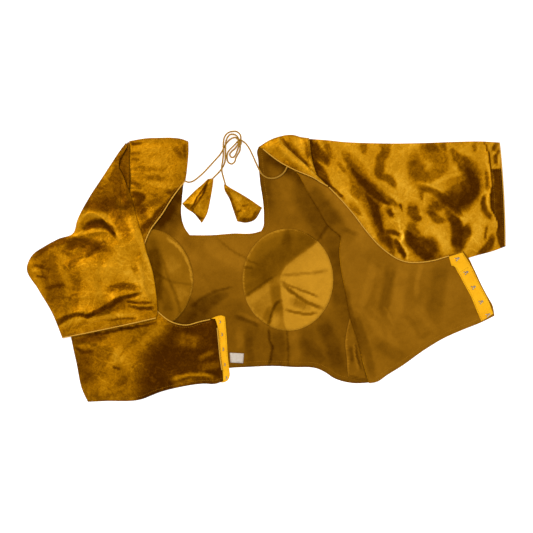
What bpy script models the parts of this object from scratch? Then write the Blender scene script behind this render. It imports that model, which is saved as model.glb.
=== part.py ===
"""A choli blouse that opens at the back, laid open on a table with its front face down.

Frame: +X runs along the spread garment, +Y towards its neck and shoulders, +Z up. The origin is on the
table, under the middle of the garment. Tables and named sizes are in millimetres, and MM turns them into
metres. Cloth pieces are flat outlines, filled with triangles, laid in order on a relief of all that is
already on the table, so that each one drapes over those below it and stays clear of them.
"""

import math

import bmesh
import bpy
import numpy as np
from mathutils import Vector
from mathutils.geometry import delaunay_2d_cdt

MM = 0.001

# Driving sizes, in millimetres
CLOTH = 1.2  # wall of one cloth
GAP = 0.3  # clearance between pieces
PAD = 3.0  # thickness of a bust pad
CUP_RADII = (68.0, 76.5)  # half width and half height of a bust pad
PIPING = 1.8  # diameter of the corded edges
CORD = 2.4  # diameter of the tie cords
HOLLOW = 1.0  # space between the two sides of a flattened sleeve
FINE = 9.0  # length of a triangle's side on small pieces
COARSE = 19.0  # length of a triangle's side on large panels
SLOPE = 0.45  # steepest drape of a cloth over the edge of another
CELL = 3.0  # spacing of the relief's grid
REACH = ((-400.0, 400.0), (-230.0, 230.0))  # the table that the relief covers

# Outlines run clockwise. Each is a ring of named edges: an edge is a smooth curve through its (x, y) points
# that ends in a corner, where the next edge starts.
FRONT = {
    "neck_left": ((-119, 188), (-121, 155), (-124, 131), (-127, 101), (-128, 84), (-126, 70), (-121, 58)),
    "neck_low": ((-115, 50), (-83, 50), (-50, 52.5), (-19, 53)),
    "neck_right": ((-8, 56), (-5, 62), (-4, 77), (-6, 106), (-9, 124), (-11, 143), (-12.5, 162), (-14, 177)),
    "shoulder_right": ((-12, 182), (-1.5, 189), (8, 194), (19.5, 198), (41.5, 199.5), (51, 197)),
    "armhole_right": ((63, 195), (66, 163), (74, 125), (88, 88), (104, 58)),
    "side_right": ((118, 40), (124, -17), (133, -92)),
    "hem": (
        (151, -173.5),
        (129, -172),
        (113, -169),
        (100, -164),
        (89, -156.5),
        (78, -151),
        (39, -148),
        (14, -146.5),
        (-29, -148),
        (-57, -149.5),
        (-100, -158),
        (-150, -178),
        (-205, -190),
    ),
    "side_left": ((-267, -191), (-280, -142), (-288, -104), (-294, -45)),
    "armhole_left": ((-293, 0), (-258, 30), (-230, 75), (-213, 120), (-208, 160)),
    "shoulder_left": ((-206, 186), (-160, 191)),
}
BACK_LEFT = {
    "shoulder": ((-206, 191), (-183, 195), (-160, 196), (-140, 196), (-126, 194)),
    "strap": ((-117, 190.5), (-117, 172), (-118.5, 155), (-122, 137.5)),
    "neck": (
        (-124, 131.5),
        (-140, 106),
        (-156.5, 80),
        (-173, 57),
        (-180, 42),
        (-188, 10),
        (-185, -25),
        (-175, -50),
        (-160, -66),
        (-142, -79),
        (-121, -84),
        (-100, -79),
        (-84.5, -75.5),
    ),
    "opening": ((-77, -75.5), (-73, -89), (-71, -110), (-69, -131), (-66, -152)),
    "hem": ((-65, -169), (-76, -173), (-95, -173), (-127, -177.5), (-158, -185), (-190, -197), (-241, -199)),
    "side": ((-268, -200.2), (-276, -183), (-285, -142), (-293, -104), (-299, -50)),
    "armhole": ((-300, 4), (-264, 20), (-232, 50), (-213, 88), (-205, 118), (-204.5, 138), (-207, 163)),
}
BACK_RIGHT = {
    "neck": (
        (34, 155),
        (41.5, 147),
        (56, 141),
        (70, 135),
        (93, 121.5),
        (112, 104),
        (131, 82),
        (150, 57),
        (169, 35.5),
        (184, 23),
        (197, 15),
        (210.5, 10.5),
        (230.5, 10),
        (251, 13),
        (273, 19.5),
    ),
    "opening": ((295, 26.5), (303, 15.5), (312.5, -3.5), (322, -24), (331.5, -42), (339, -55.5)),
    "hem": (
        (342, -71),
        (322, -81),
        (291, -93.5),
        (264.5, -105.5),
        (238, -121.5),
        (200.5, -148),
        (181, -160),
        (166, -170),
    ),
    "side": ((154, -172.5), (147, -151), (137.5, -113.5), (124, -70.5), (118, -36), (110, 9.5), (109, 26)),
    "fold": ((111, 48), (92.5, 63), (76.5, 89), (59, 117.5), (49, 138.5)),
}
STRAP_LOWER = {
    "shoulder": ((16, 196.5), (22, 198.5), (41.5, 200), (51, 197.2)),
    "armhole": ((64, 195.3), (66, 177), (70, 156)),
    "tip": ((75, 141),),
    "under": ((67, 140), (50, 154), (32, 170), (19, 184)),
}
STRAP_ROLLED = {
    "neck": ((93, 121.5), (83, 127), (70, 135), (56, 141), (41.5, 147), (22.5, 157), (3, 171), (-6, 178.5)),
    "shoulder": ((-11.5, 181), (-1.5, 189), (8, 194)),
    "ridge": ((19.5, 198), (22.5, 189), (29, 182), (40, 172), (61, 153), (73, 141.5), (85, 130)),
}
SLEEVE_CAP = {
    "seam": ((-206.8, 190), (-206.2, 181), (-208.5, 163), (-208, 151), (-206, 138), (-206.3, 118)),
    "foot": ((-207.5, 98), (-214, 92)),
    "under": ((-222, 100), (-227, 140), (-224, 165), (-216, 182)),
}
SIDE_ALLOWANCE = {
    "edge": ((126, -70), (120, -95), (118, -114), (120, -133), (121, -148)),
    "foot": ((122, -163),),
    "seam": ((150, -169), (144, -135), (134, -98)),
}
EYE_PLACKET = {
    "top": ((-86, -77), (-78, -73), (-67, -70.5)),
    "edge": ((-62, -72.5), (-60.5, -90), (-59, -110), (-58, -131), (-56, -149), (-55.5, -163)),
    "foot": ((-58, -168), (-64, -171)),
    "inner": ((-78, -168), (-84, -120)),
}
HOOK_PLACKET = {
    "top": ((273, 17.5),),
    "edge": ((294, 24), (308, 1), (321, -26), (332, -47)),
    "foot": ((340, -68),),
    "inner": ((322, -79.5), (311, -54), (297, -26.5), (288, -9.5)),
}
LABEL = {"top": ((-55, -126.5),), "side": ((-34, -127.5),), "foot": ((-35, -142),), "inner": ((-54, -141),)}
TASSEL_LEFT = {
    "top": ((-88, 134), (-80, 134.5)),
    "side": ((-80, 128), (-84, 104), (-90, 80)),
    "foot": ((-97, 68), (-111, 84), (-119, 89)),
    "edge": ((-126.5, 97), (-107, 117), (-92, 130)),
}
TASSEL_RIGHT = {
    "top": ((-64, 126), (-60, 125)),
    "edge": ((-56, 122), (-30, 107)),
    "foot": ((-6.5, 91), (-19, 72), (-31, 68.5)),
    "side": ((-44, 70.5), (-50, 88), (-56, 105), (-63, 118)),
}
CUPS = {
    # node: x and y of its middle, height of its rim above the middle of its bowl
    "cup_left": (-178.0, -17.0, 4.0),
    "cup_right": (32.0, -17.0, 7.0),
}

# Sleeve sections from the shoulder to the cuff: the two ends of the flattened tube across its width, and
# how far the section bows towards the cuff at its middle.
SLEEVE_RIGHT = (
    # ax, ay, bx, by, bow
    (60, 194.5, 68, 146, 0),
    (90, 192.5, 98, 84, 0),
    (119, 189.5, 128, 33, 0),
    (157, 188, 180, 12, 0),
    (200, 187.5, 238, 1, 0),
    (245, 188.5, 283, 10, 0),
    (287, 190, 316, 19.5, 0),
    (322, 190.5, 340, 26, 1),
    (350, 189, 358.5, 33, 2),
)
SLEEVE_LEFT = (
    # ax, ay, bx, by, bow
    (-211, 188, -208, 183, 0),
    (-223, 172, -220.5, 159, 0),
    (-244, 140, -215, 140, 0),
    (-268, 103, -201, 103, 0),
    (-284, 72, -193, 72, 0),
    (-290, 53, -187, 54, 0),
    (-313, 44, -181, 32, 0),
    (-340, 27, -176, 16, 0),
    (-359.5, 2, -171, -2, 0),
    (-342, -32, -166, -30, 0),
    (-321, -68, -163, -60, 0),
    (-306, -105, -164.5, -75, -3),
)

# Largest folds: soft ridges that stand on a piece between two points.
FOLDS = {
    "front": (
        # x0, y0, x1, y1, height, half width
        (-128, -78, -97, -44, 3.5, 12),
        (-97, -44, -50, -28, 3.0, 14),
    ),
    "back_right": (
        (198, -20, 190, -110, 3.0, 16),
        (235, -15, 262, -75, 3.0, 18),
    ),
    "back_left": (
        (-240, -105, -205, -150, 3.0, 16),
        (-150, -155, -85, -160, 2.5, 10),
    ),
    "sleeve_right": (
        (120, 165, 178, 100, 4.0, 16),
        (178, 170, 190, 118, 3.5, 14),
        (285, 170, 312, 110, 4.0, 18),
        (200, 55, 214, 20, 4.0, 12),
        (225, 125, 290, 82, 3.0, 12),
    ),
    "sleeve_left": (
        (-280, 76, -258, 84, 5.0, 12),
        (-258, 84, -222, 50, 6.0, 13),
        (-300, -75, -250, -66, 3.5, 12),
        (-250, -66, -192, -40, 3.5, 12),
    ),
}

# Cord routes, chosen by hand: x, y and the height of the cord's middle. They pass over and under each other.
DORIS = {
    "dori_left_start": (
        (-121.6, 130.6, 5.6),
        (-117, 129.2, 5.0),
        (-110, 131, 2.4),
        (-103, 136, 1.3),
        (-95, 143, 1.3),
        (-86, 152.5, 1.3),
        (-77, 162.5, 1.3),
        (-70, 170.5, 1.3),
        (-66, 177, 1.3),
        (-62.5, 184, 1.3),
        (-58, 190, 1.3),
        (-52, 195, 1.4),
        (-46.5, 196.2, 2.2),
    ),
    "dori_left_loop": (
        (-43.6, 184.8, 3.2),
        (-47, 180, 1.8),
        (-52, 175.5, 1.3),
        (-55, 171, 1.3),
        (-53.5, 167, 1.3),
        (-49.5, 166.8, 1.3),
        (-46.8, 170, 1.3),
        (-44.6, 175, 1.5),
        (-42.4, 180.8, 2.2),
    ),
    "dori_left_end": (
        (-45.6, 199.5, 5.2),
        (-50, 201, 4.2),
        (-54.6, 200.4, 4.2),
        (-58.6, 196, 4.2),
        (-61, 189, 4.2),
        (-61.6, 181, 4.2),
        (-61.6, 172, 4.0),
        (-61.8, 163, 2.6),
        (-63.8, 155.5, 1.3),
        (-68, 148.5, 1.3),
        (-73.5, 142, 1.4),
        (-78.5, 137, 2.4),
    ),
    "dori_right_start": (
        (31, 152.5, 5.0),
        (27, 145, 4.4),
        (20, 138.6, 4.3),
        (11, 135.2, 4.3),
        (1, 136, 4.3),
        (-6, 140.5, 4.3),
        (-11, 148, 4.3),
        (-16, 158.5, 2.8),
        (-21, 170, 1.3),
        (-26, 180, 1.4),
        (-31, 187, 2.0),
        (-35.6, 190.8, 3.2),
    ),
    "dori_right_loop": (
        (-46.0, 187.2, 3.4),
        (-50, 183, 4.2),
        (-55, 178, 4.2),
        (-58.6, 172.5, 3.4),
        (-59, 165, 1.8),
        (-57.2, 159, 1.3),
        (-52.5, 156.6, 1.3),
        (-48, 159.5, 1.3),
        (-46, 165.5, 1.4),
        (-43, 171, 1.4),
        (-40, 176.5, 1.6),
        (-39.4, 181.2, 2.2),
    ),
    "dori_right_end": (
        (-38.6, 197.4, 4.6),
        (-40.5, 202, 3.2),
        (-45, 205.2, 2.8),
        (-51, 205.4, 3.4),
        (-58, 203, 4.2),
        (-63, 196.8, 4.2),
        (-64.6, 189, 4.2),
        (-64.8, 180, 4.2),
        (-64.8, 170, 4.0),
        (-65.8, 161, 4.2),
        (-67, 153, 4.2),
        (-66.6, 144, 2.6),
        (-64.6, 136, 1.5),
        (-62.6, 129, 2.4),
    ),
}
KNOT = (-40.8, 190.0, 3.6)  # middle of the bow's knot
KNOT_RADII = (4.0, 7.0, 3.3)
HOOKS = ((285, 14), (298.5, -6.5), (309.5, -28.5), (321, -50.5), (331.5, -70))  # x, y on the hook placket
HOOK_TURN = math.radians(-62)  # the placket's direction
EYES = ((-70.5, -80), (-67.7, -99), (-65.8, -121), (-63.6, -144), (-61.2, -164))  # x, y on the eye placket
WIRE = 1.0  # diameter of the hooks' and eyes' wire

COLOURS = {
    # name: red, green and blue (linear), roughness, metallic
    "satin": (0.42, 0.18, 0.008, 0.38, 0.25),
    "lining": (0.25, 0.105, 0.004, 0.85, 0.0),
    "placket": (0.88, 0.42, 0.006, 0.8, 0.0),
    "piping": (0.55, 0.27, 0.04, 0.5, 0.0),
    "steel": (0.55, 0.56, 0.58, 0.3, 1.0),
    "label": (0.75, 0.68, 0.6, 0.8, 0.0),
}


def clear_scene():
    for thing in list(bpy.data.objects):
        bpy.data.objects.remove(thing)


def material(name, finish):
    red, green, blue, rough, metal = COLOURS[finish]
    made = bpy.data.materials.new(name)
    made.use_nodes = True
    shader = made.node_tree.nodes["Principled BSDF"]
    shader.inputs["Base Color"].default_value = (red, green, blue, 1.0)
    shader.inputs["Roughness"].default_value = rough
    shader.inputs["Metallic"].default_value = metal
    return made


def add_object(name, data, finish):
    thing = bpy.data.objects.new(name, data)
    data.materials.append(material(name, finish))
    bpy.data.collections["choli_blouse"].objects.link(thing)
    return thing


# Curves and outlines


def smooth(knots, spacing):
    """Evenly spaced points of the smooth curve through the knots, both ends included."""
    knots = np.asarray(knots, float)
    count = len(knots)
    steps = np.linalg.norm(np.diff(knots, axis=0), axis=1)
    slopes = np.diff(knots, axis=0) / steps[:, None]
    tangents = np.empty_like(knots)
    tangents[0], tangents[-1] = slopes[0], slopes[-1]
    for i in range(1, count - 1):
        before, after = steps[i - 1], steps[i]
        tangents[i] = (slopes[i - 1] * after + slopes[i] * before) / (before + after)
    dense = [knots[:1]]
    for i in range(count - 1):
        t = np.linspace(0, 1, 17)[1:, None]
        start, end = knots[i], knots[i + 1]
        out, back = tangents[i] * steps[i], tangents[i + 1] * steps[i]
        dense.append(
            (2 * t**3 - 3 * t**2 + 1) * start
            + (t**3 - 2 * t**2 + t) * out
            + (3 * t**2 - 2 * t**3) * end
            + (t**3 - t**2) * back
        )
    dense = np.vstack(dense)
    run = np.concatenate([[0.0], np.cumsum(np.linalg.norm(np.diff(dense, axis=0), axis=1))])
    places = np.linspace(0, run[-1], max(2, round(run[-1] / spacing) + 1))
    return np.column_stack([np.interp(places, run, dense[:, axis]) for axis in range(knots.shape[1])])


def edge_of(outline, name, spacing):
    """Points along one named edge, up to the start of the next one."""
    names = list(outline)
    following = outline[names[(names.index(name) + 1) % len(names)]][0]
    return smooth((*outline[name], following), spacing)


def ring_of(outline, spacing):
    return np.vstack([edge_of(outline, name, spacing)[:-1] for name in outline])


def ellipse(centre, radii, spacing):
    count = round(2 * math.pi * max(radii) / spacing)
    turn = -np.arange(count) * 2 * math.pi / count
    return np.column_stack([centre[0] + radii[0] * np.cos(turn), centre[1] + radii[1] * np.sin(turn)])


def inside(ring, spots):
    """Whether each spot is inside the ring, by counting the sides that a line to its right crosses."""
    found = np.zeros(len(spots), bool)
    for (ax, ay), (bx, by) in zip(ring, np.roll(ring, -1, axis=0)):
        if ay == by:
            continue
        crosses = (ay > spots[:, 1]) != (by > spots[:, 1])
        found ^= crosses & (spots[:, 0] < ax + (spots[:, 1] - ay) * (bx - ax) / (by - ay))
    return found


def fill(ring, side):
    """Points and triangles that fill a ring, on a grid of equal triangles."""
    low, high = ring.min(axis=0), ring.max(axis=0)
    rows = []
    for number, y in enumerate(np.arange(low[1] + side / 2, high[1], side * 0.87)):
        xs = np.arange(low[0] + (0.25 + 0.5 * (number % 2)) * side, high[0], side)
        rows.append(np.column_stack([xs, np.full(len(xs), y)]))
    grid = np.vstack(rows)
    grid = grid[inside(ring, grid)]
    ends = np.roll(ring, -1, axis=0)
    spans = ends - ring
    toward = grid[:, None] - ring[None]
    along = np.clip((toward * spans).sum(axis=2) / (spans**2).sum(axis=1), 0, 1)
    away = np.linalg.norm(toward - along[..., None] * spans, axis=2).min(axis=1)
    grid = grid[away > 0.55 * side]
    spots = [Vector(spot) for spot in np.vstack([ring, grid])]
    border = [(i, (i + 1) % len(ring)) for i in range(len(ring))]
    spots, _, faces, *_ = delaunay_2d_cdt(spots, border, [], 1, 1e-6)
    return np.array([tuple(spot) for spot in spots]), np.array([tuple(face) for face in faces])


# The relief: the height of the highest thing at each point of the table

relief = np.zeros(
    (
        round((REACH[1][1] - REACH[1][0]) / CELL) + 1,
        round((REACH[0][1] - REACH[0][0]) / CELL) + 1,
    )
)


def cells(spots):
    """Fractional row and column of each spot."""
    return (spots[..., 1] - REACH[1][0]) / CELL, (spots[..., 0] - REACH[0][0]) / CELL


def raise_relief(spots, heights):
    rows, columns = (np.floor(part).astype(int) for part in cells(spots))
    for down in (0, 1):
        for right in (0, 1):
            np.maximum.at(relief, (rows + down, columns + right), heights)


def read(grid, spots):
    """The grid's height at each spot, between its points."""
    rows, columns = cells(spots)
    row, column = np.floor(rows).astype(int), np.floor(columns).astype(int)
    down, right = rows - row, columns - column
    upper = grid[row, column] * (1 - right) + grid[row, column + 1] * right
    lower = grid[row + 1, column] * (1 - right) + grid[row + 1, column + 1] * right
    return upper * (1 - down) + lower * down


def blanket():
    """The relief under a cloth that comes down from each edge no steeper than SLOPE."""
    spread = relief.copy()
    while True:
        grown = spread.copy()
        for drop, shifts in ((SLOPE * CELL, ((0, 1), (1, 0))), (SLOPE * CELL * 1.414, ((1, 1), (1, -1)))):
            for down, right in shifts:
                for sign in (1, -1):
                    moved = np.roll(spread, (sign * down, sign * right), axis=(0, 1)) - drop
                    grown = np.maximum(grown, moved)
        if np.abs(grown - spread).max() < 1e-6:
            return spread
        spread = grown


def weights_of(parts):
    """Weights of a triangle's corners at evenly spaced points of it."""
    table = [(i, j, parts - i - j) for i in range(parts + 1) for j in range(parts + 1 - i)]
    return np.array(table, float) / parts


def rest_heights(points, faces, wanted):
    """Raises the wanted heights of a sheet until it is clear of the relief everywhere."""
    heights = wanted.copy()
    weights = weights_of(8)
    spots = np.einsum("kc,mcd->mkd", weights, points[faces])
    shifts = ((0, 0), (1, 1), (-1, -1), (1, -1), (-1, 1))
    below = np.maximum.reduce([read(relief, spots + shift) for shift in shifts])
    needed = np.where(below > 0, below + GAP, 0.0)
    for _ in range(6):
        lift = np.maximum(needed - heights[faces] @ weights.T, 0).max(axis=1)
        if lift.max() < 1e-4:
            break
        rise = np.zeros(len(heights))
        np.maximum.at(rise, faces, lift[:, None])
        heights += rise
    return heights


def drape(points, faces, shape=0.0):
    """Heights of the underside of a sheet laid on the relief, with its own shape added."""
    soft = read(blanket(), points)
    return rest_heights(points, faces, soft + GAP * np.minimum(soft / GAP, 1.0) + shape)


def heap(points, faces, tops):
    """Adds a sheet's upper side to the relief."""
    weights = weights_of(10)
    raise_relief(np.einsum("kc,mcd->mkd", weights, points[faces]), tops[faces] @ weights.T)


def height_on(points, faces, heights, spots):
    """Height of a sheet at each spot, from the triangle that holds it or is nearest to it."""
    a, b, c = points[faces[:, 0]], points[faces[:, 1]], points[faces[:, 2]]
    whole = (b[:, 0] - a[:, 0]) * (c[:, 1] - a[:, 1]) - (c[:, 0] - a[:, 0]) * (b[:, 1] - a[:, 1])
    found = []
    for x, y in spots:
        second = ((x - a[:, 0]) * (c[:, 1] - a[:, 1]) - (c[:, 0] - a[:, 0]) * (y - a[:, 1])) / whole
        third = ((b[:, 0] - a[:, 0]) * (y - a[:, 1]) - (x - a[:, 0]) * (b[:, 1] - a[:, 1])) / whole
        share = np.column_stack([1 - second - third, second, third])
        best = share.min(axis=1).argmax()
        found.append(share[best] @ heights[faces[best]])
    return np.array(found)


# Shapes


def ridges(points, folds):
    """Height of the soft ridges of a piece at each point."""
    total = np.zeros(len(points))
    for x0, y0, x1, y1, height, half_width in folds:
        start, span = np.array((x0, y0)), np.array((x1 - x0, y1 - y0))
        along = np.clip((points - start) @ span / (span @ span), 0, 1)
        away = np.linalg.norm(points - start - along[:, None] * span, axis=1) / half_width
        total = np.maximum(total, height * np.exp(-(away**2)))
    return np.where(total > 0.3, total, 0.0)


def bowls(points):
    """Height of the front around its two cups: each is a shallow bowl with a raised rim."""
    total = np.zeros(len(points))
    for x, y, rim in CUPS.values():
        away = np.linalg.norm((points - (x, y)) / CUP_RADII, axis=1)
        beyond = np.clip(1 - (np.maximum(away - 1, 0) / 0.42) ** 1.2, 0, 1) ** 1.5
        bowl = np.where(away < 1, away**2.2, beyond)
        total = np.maximum(total, rim * bowl)
    return total


def solid(name, points, faces, under, thickness, finish):
    """A sheet whose underside is at the given heights, extruded upwards by its thickness."""
    mesh = bmesh.new()
    rise = mesh.verts.layers.float.new("rise")
    corners = [mesh.verts.new((x * MM, y * MM, z * MM)) for (x, y), z in zip(points, under)]
    for corner, height in zip(corners, np.broadcast_to(thickness, len(points))):
        corner[rise] = height * MM
    for face in faces:
        mesh.faces.new([corners[i] for i in face])
    made = bmesh.ops.extrude_face_region(mesh, geom=mesh.faces[:])["geom"]
    for item in made:
        if isinstance(item, bmesh.types.BMVert):
            item.co.z += item[rise]
    bmesh.ops.recalc_face_normals(mesh, faces=mesh.faces[:])
    data = bpy.data.meshes.new(name)
    mesh.to_mesh(data)
    mesh.free()
    return add_object(name, data, finish)


def wire(name, route, diameter, finish, sides):
    """A round cord, piping or wire along a route of (x, y, z) points."""
    curve = bpy.data.curves.new(name, "CURVE")
    curve.dimensions = "3D"
    curve.bevel_depth = diameter / 2 * MM
    curve.bevel_resolution = sides // 2 - 2
    curve.use_fill_caps = True
    spline = curve.splines.new("POLY")
    spline.points.add(len(route) - 1)
    for point, place in zip(spline.points, route):
        point.co = (place[0] * MM, place[1] * MM, place[2] * MM, 1.0)
    raise_relief(np.asarray(route)[:, :2], np.asarray(route)[:, 2] + diameter / 2)
    return add_object(name, curve, finish)


def lay(name, ring, side, thickness, finish, shape=None):
    """A sheet cut to a ring, laid on what is there. Returns its points, triangles and upper heights."""
    points, faces = fill(ring, side)
    under = drape(points, faces, 0.0 if shape is None else shape(points))
    solid(name, points, faces, under, thickness, finish)
    tops = under + thickness
    heap(points, faces, tops)
    return points, faces, tops


def cover(name, sheet, finish):
    """A second cloth made from the points of the sheet below it, moved up."""
    points, faces, tops = sheet
    solid(name, points, faces, tops + GAP, CLOTH, finish)
    heap(points, faces, tops + GAP + CLOTH)
    return points, faces, tops + GAP + CLOTH


def offset(route, distance):
    """The route moved to its right by a distance."""
    ahead = np.gradient(route, axis=0)
    ahead /= np.linalg.norm(ahead, axis=1)[:, None]
    return route + distance * np.column_stack([ahead[:, 1], -ahead[:, 0]])


def piping(name, sheet, knots, spacing):
    """A corded edge just inside a sheet's edge, which runs clockwise, on its upper side."""
    dense = offset(smooth(knots, spacing / 8), PIPING / 2)
    beside = [offset(dense, shift) for shift in (-PIPING / 2, 0, PIPING / 2)]
    heights = np.max([height_on(*sheet, line) for line in beside], axis=0)
    places = np.arange(0, len(dense), 8)
    over = [heights[max(0, place - 8) : place + 9].max() + GAP + PIPING / 2 for place in places]
    wire(name, np.column_stack([dense[places], over]), PIPING, "piping", 6)


def sleeve(name, sections, folds, along, across):
    """A flattened tube through the sections: two sides with a narrow hollow, open at both ends."""
    table = np.array(sections, float)
    rows = smooth(table, 1.0)
    rows = rows[np.linspace(0, len(rows) - 1, along + 1).round().astype(int)]
    share = np.linspace(0, 1, across + 1)
    grid = rows[:, None, 0:2] * (1 - share)[None, :, None] + rows[:, None, 2:4] * share[None, :, None]
    grid[..., 0] += (rows[:, 4:5] * 4 * (share * (1 - share))[None]) * np.sign(table[-1, 0] - table[0, 0])
    points = grid.reshape(-1, 2)
    first = (np.arange(along)[:, None] * (across + 1) + np.arange(across)).reshape(-1)
    faces = np.vstack(
        [
            np.column_stack([first, first + 1, first + across + 2]),
            np.column_stack([first, first + across + 2, first + across + 1]),
        ]
    )
    under = drape(points, faces)
    flatness = np.minimum(1.0, 0.35 + 6 * share * (1 - share))
    hollow = np.tile(HOLLOW * flatness, along + 1) + ridges(points, folds) * np.tile(
        np.minimum(1.0, 8 * share * (1 - share)), along + 1
    )
    tops = under + 2 * CLOTH + hollow
    build_tube(name, grid, under.reshape(grid.shape[:2]), tops.reshape(grid.shape[:2]))
    heap(points, faces, tops)
    return grid, tops.reshape(grid.shape[:2])


def build_tube(name, grid, under, tops):
    """The wall of a flattened tube, as pairs of rings of points: its outside, and a cloth's width inside."""
    mesh = bmesh.new()
    loops = []
    for spots, low, high in zip(grid, under, tops):
        width = np.linalg.norm(spots[-1] - spots[0])
        inset = (spots[-1] - spots[0]) / width * CLOTH
        middle = (low + high) / 2
        outside = ring_section(spots, low, high, middle, inset * 0.6)
        squeezed = spots.copy()
        squeezed[0] += inset
        squeezed[-1] -= inset
        within = ring_section(squeezed, low + CLOTH, high - CLOTH, middle, inset * 0.3)
        loops.append([[mesh.verts.new(place * MM) for place in ring] for ring in (outside, within)])
    for (outer, inner), (next_outer, next_inner) in zip(loops, loops[1:]):
        bridge(mesh, outer, next_outer)
        bridge(mesh, next_inner, inner)
    bridge(mesh, loops[0][1], loops[0][0])
    bridge(mesh, loops[-1][0], loops[-1][1])
    bmesh.ops.recalc_face_normals(mesh, faces=mesh.faces[:])
    data = bpy.data.meshes.new(name)
    mesh.to_mesh(data)
    mesh.free()
    add_object(name, data, "satin")


def ring_section(spots, low, high, middle, inset):
    """One ring round a flattened tube: along its lower side, round a fold, back above, round a fold."""
    inner = spots.copy()
    inner[0] += inset
    inner[-1] -= inset
    lower = np.column_stack([inner, low])
    upper = np.column_stack([inner, high])[::-1]
    near = np.array([[*spots[0], middle[0]]])
    far = np.array([[*spots[-1], middle[-1]]])
    return np.vstack([lower, far, upper, near])


def bridge(mesh, one, other):
    """A band of quads between two rings with the same number of points."""
    count = len(one)
    for i in range(count):
        j = (i + 1) % count
        mesh.faces.new((one[i], one[j], other[j], other[i]))


def cuff_piping(name, grid, tops):
    """A corded edge on the upper side of a sleeve, along its cuff."""
    inward = (grid[-2] - grid[-1]) * (PIPING / np.linalg.norm(grid[-2] - grid[-1], axis=1))[:, None]
    heights = np.maximum(tops[-1], tops[-2]) + GAP + PIPING / 2
    route = np.column_stack([grid[-1] + inward * 0.6, heights])[1:-1]
    wire(name, route, PIPING, "piping", 6)


def hook(name, place, height):
    """A sewn hook: a wire bent into two feet and a bill."""
    half = ((-2.6, -1.5), (-1.2, -2.0), (0.2, -1.0), (3.2, -0.7), (3.8, 0.0))
    shape = [*half, *((along, -side) for along, side in half[-2::-1])]
    turn = HOOK_TURN + math.pi / 2
    across = np.array((math.cos(turn), math.sin(turn)))
    sideways = np.array((-across[1], across[0]))
    route = [(*(np.array(place) + along * across + side * sideways), height) for along, side in shape]
    wire(name, route, WIRE, "steel", 4)


def eye(name, place, height):
    """A sewn eye: a small wire arch that stands out from the placket's edge."""
    turns = np.linspace(math.pi, 0, 6)
    route = [(place[0] + 1.8 * math.sin(turn), place[1] + 1.9 * math.cos(turn), height) for turn in turns]
    wire(name, route, WIRE, "steel", 4)


def tassel(name, outline):
    """A stuffed triangle of satin: thin at its edges and full in the middle."""
    ring = ring_of(outline, 8.0)
    points, faces = fill(ring, 10.0)
    away = np.linalg.norm(points[:, None] - ring[None], axis=2).min(axis=1)
    fullness = 1.2 + 5.0 * np.minimum(away / 16.0, 1.0) ** 0.6
    under = drape(points, faces) + 0.2
    solid(name, points, faces, under, fullness, "satin")
    heap(points, faces, under + fullness)


# The garment, from the table up


def front_shape(points):
    return bowls(points) + ridges(points, FOLDS["front"])


def build_front():
    shell = lay("front_shell", ring_of(FRONT, COARSE), COARSE, CLOTH, "satin", front_shape)
    return cover("front_lining", shell, "lining")


def build_inside_pieces():
    for name, (x, y, _) in CUPS.items():
        lay(name, ellipse((x, y), CUP_RADII, 14.0), 15.0, PAD, "lining")
    lay("label", ring_of(LABEL, 10.0), 10.0, 0.8, "label")
    lay("side_allowance_right", ring_of(SIDE_ALLOWANCE, 12.0), 13.0, CLOTH, "satin")
    placket = lay("eye_placket_left", ring_of(EYE_PLACKET, FINE), FINE, CLOTH, "placket")
    for number, place in enumerate(EYES, 1):
        eye(f"eye_{number}", place, height_on(*placket, [place])[0] + GAP + WIRE / 2 + 0.1)


def back_right_shape(points):
    return ridges(points, FOLDS["back_right"])


def build_right_side():
    grid, tops = sleeve("sleeve_right", SLEEVE_RIGHT, FOLDS["sleeve_right"], 16, 10)
    cuff_piping("cuff_piping_right", grid, tops)
    lay("strap_right_lower", ring_of(STRAP_LOWER, 11.0), 13.0, CLOTH, "satin")
    ring = ring_of(BACK_RIGHT, COARSE)
    shell = lay("back_right_shell", ring, COARSE, CLOTH, "satin", back_right_shape)
    lining = cover("back_right_lining", shell, "lining")
    placket = lay("hook_placket_right", ring_of(HOOK_PLACKET, FINE), FINE, CLOTH, "placket")
    for number, place in enumerate(HOOKS, 1):
        hook(f"hook_{number}", place, height_on(*placket, [place])[0] + GAP + WIRE / 2 + 0.1)
    rolled = lay("strap_right_rolled", ring_of(STRAP_ROLLED, 10.0), 12.0, CLOTH, "satin")
    return lining, rolled


def back_left_shape(points):
    return ridges(points, FOLDS["back_left"])


def build_left_side():
    back = lay("back_left_shell", ring_of(BACK_LEFT, COARSE), COARSE, CLOTH, "satin", back_left_shape)
    piping("neck_piping_left", back, BACK_LEFT["neck"], 11.0)
    piping("opening_piping_left", back, BACK_LEFT["opening"][1:], 11.0)
    lay("sleeve_cap_left", ring_of(SLEEVE_CAP, 13.0), 13.0, CLOTH, "satin")
    grid, tops = sleeve("sleeve_left", SLEEVE_LEFT, FOLDS["sleeve_left"], 22, 10)
    cuff_piping("cuff_piping_left", grid, tops)


def build_neck_piping_right(lining, rolled):
    start = STRAP_ROLLED["neck"][0][0] + 6
    piping("neck_piping_right", lining, [knot for knot in BACK_RIGHT["neck"] if knot[0] > start], 11.0)
    piping("strap_piping_right", rolled, STRAP_ROLLED["neck"][1:], 10.0)


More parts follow.
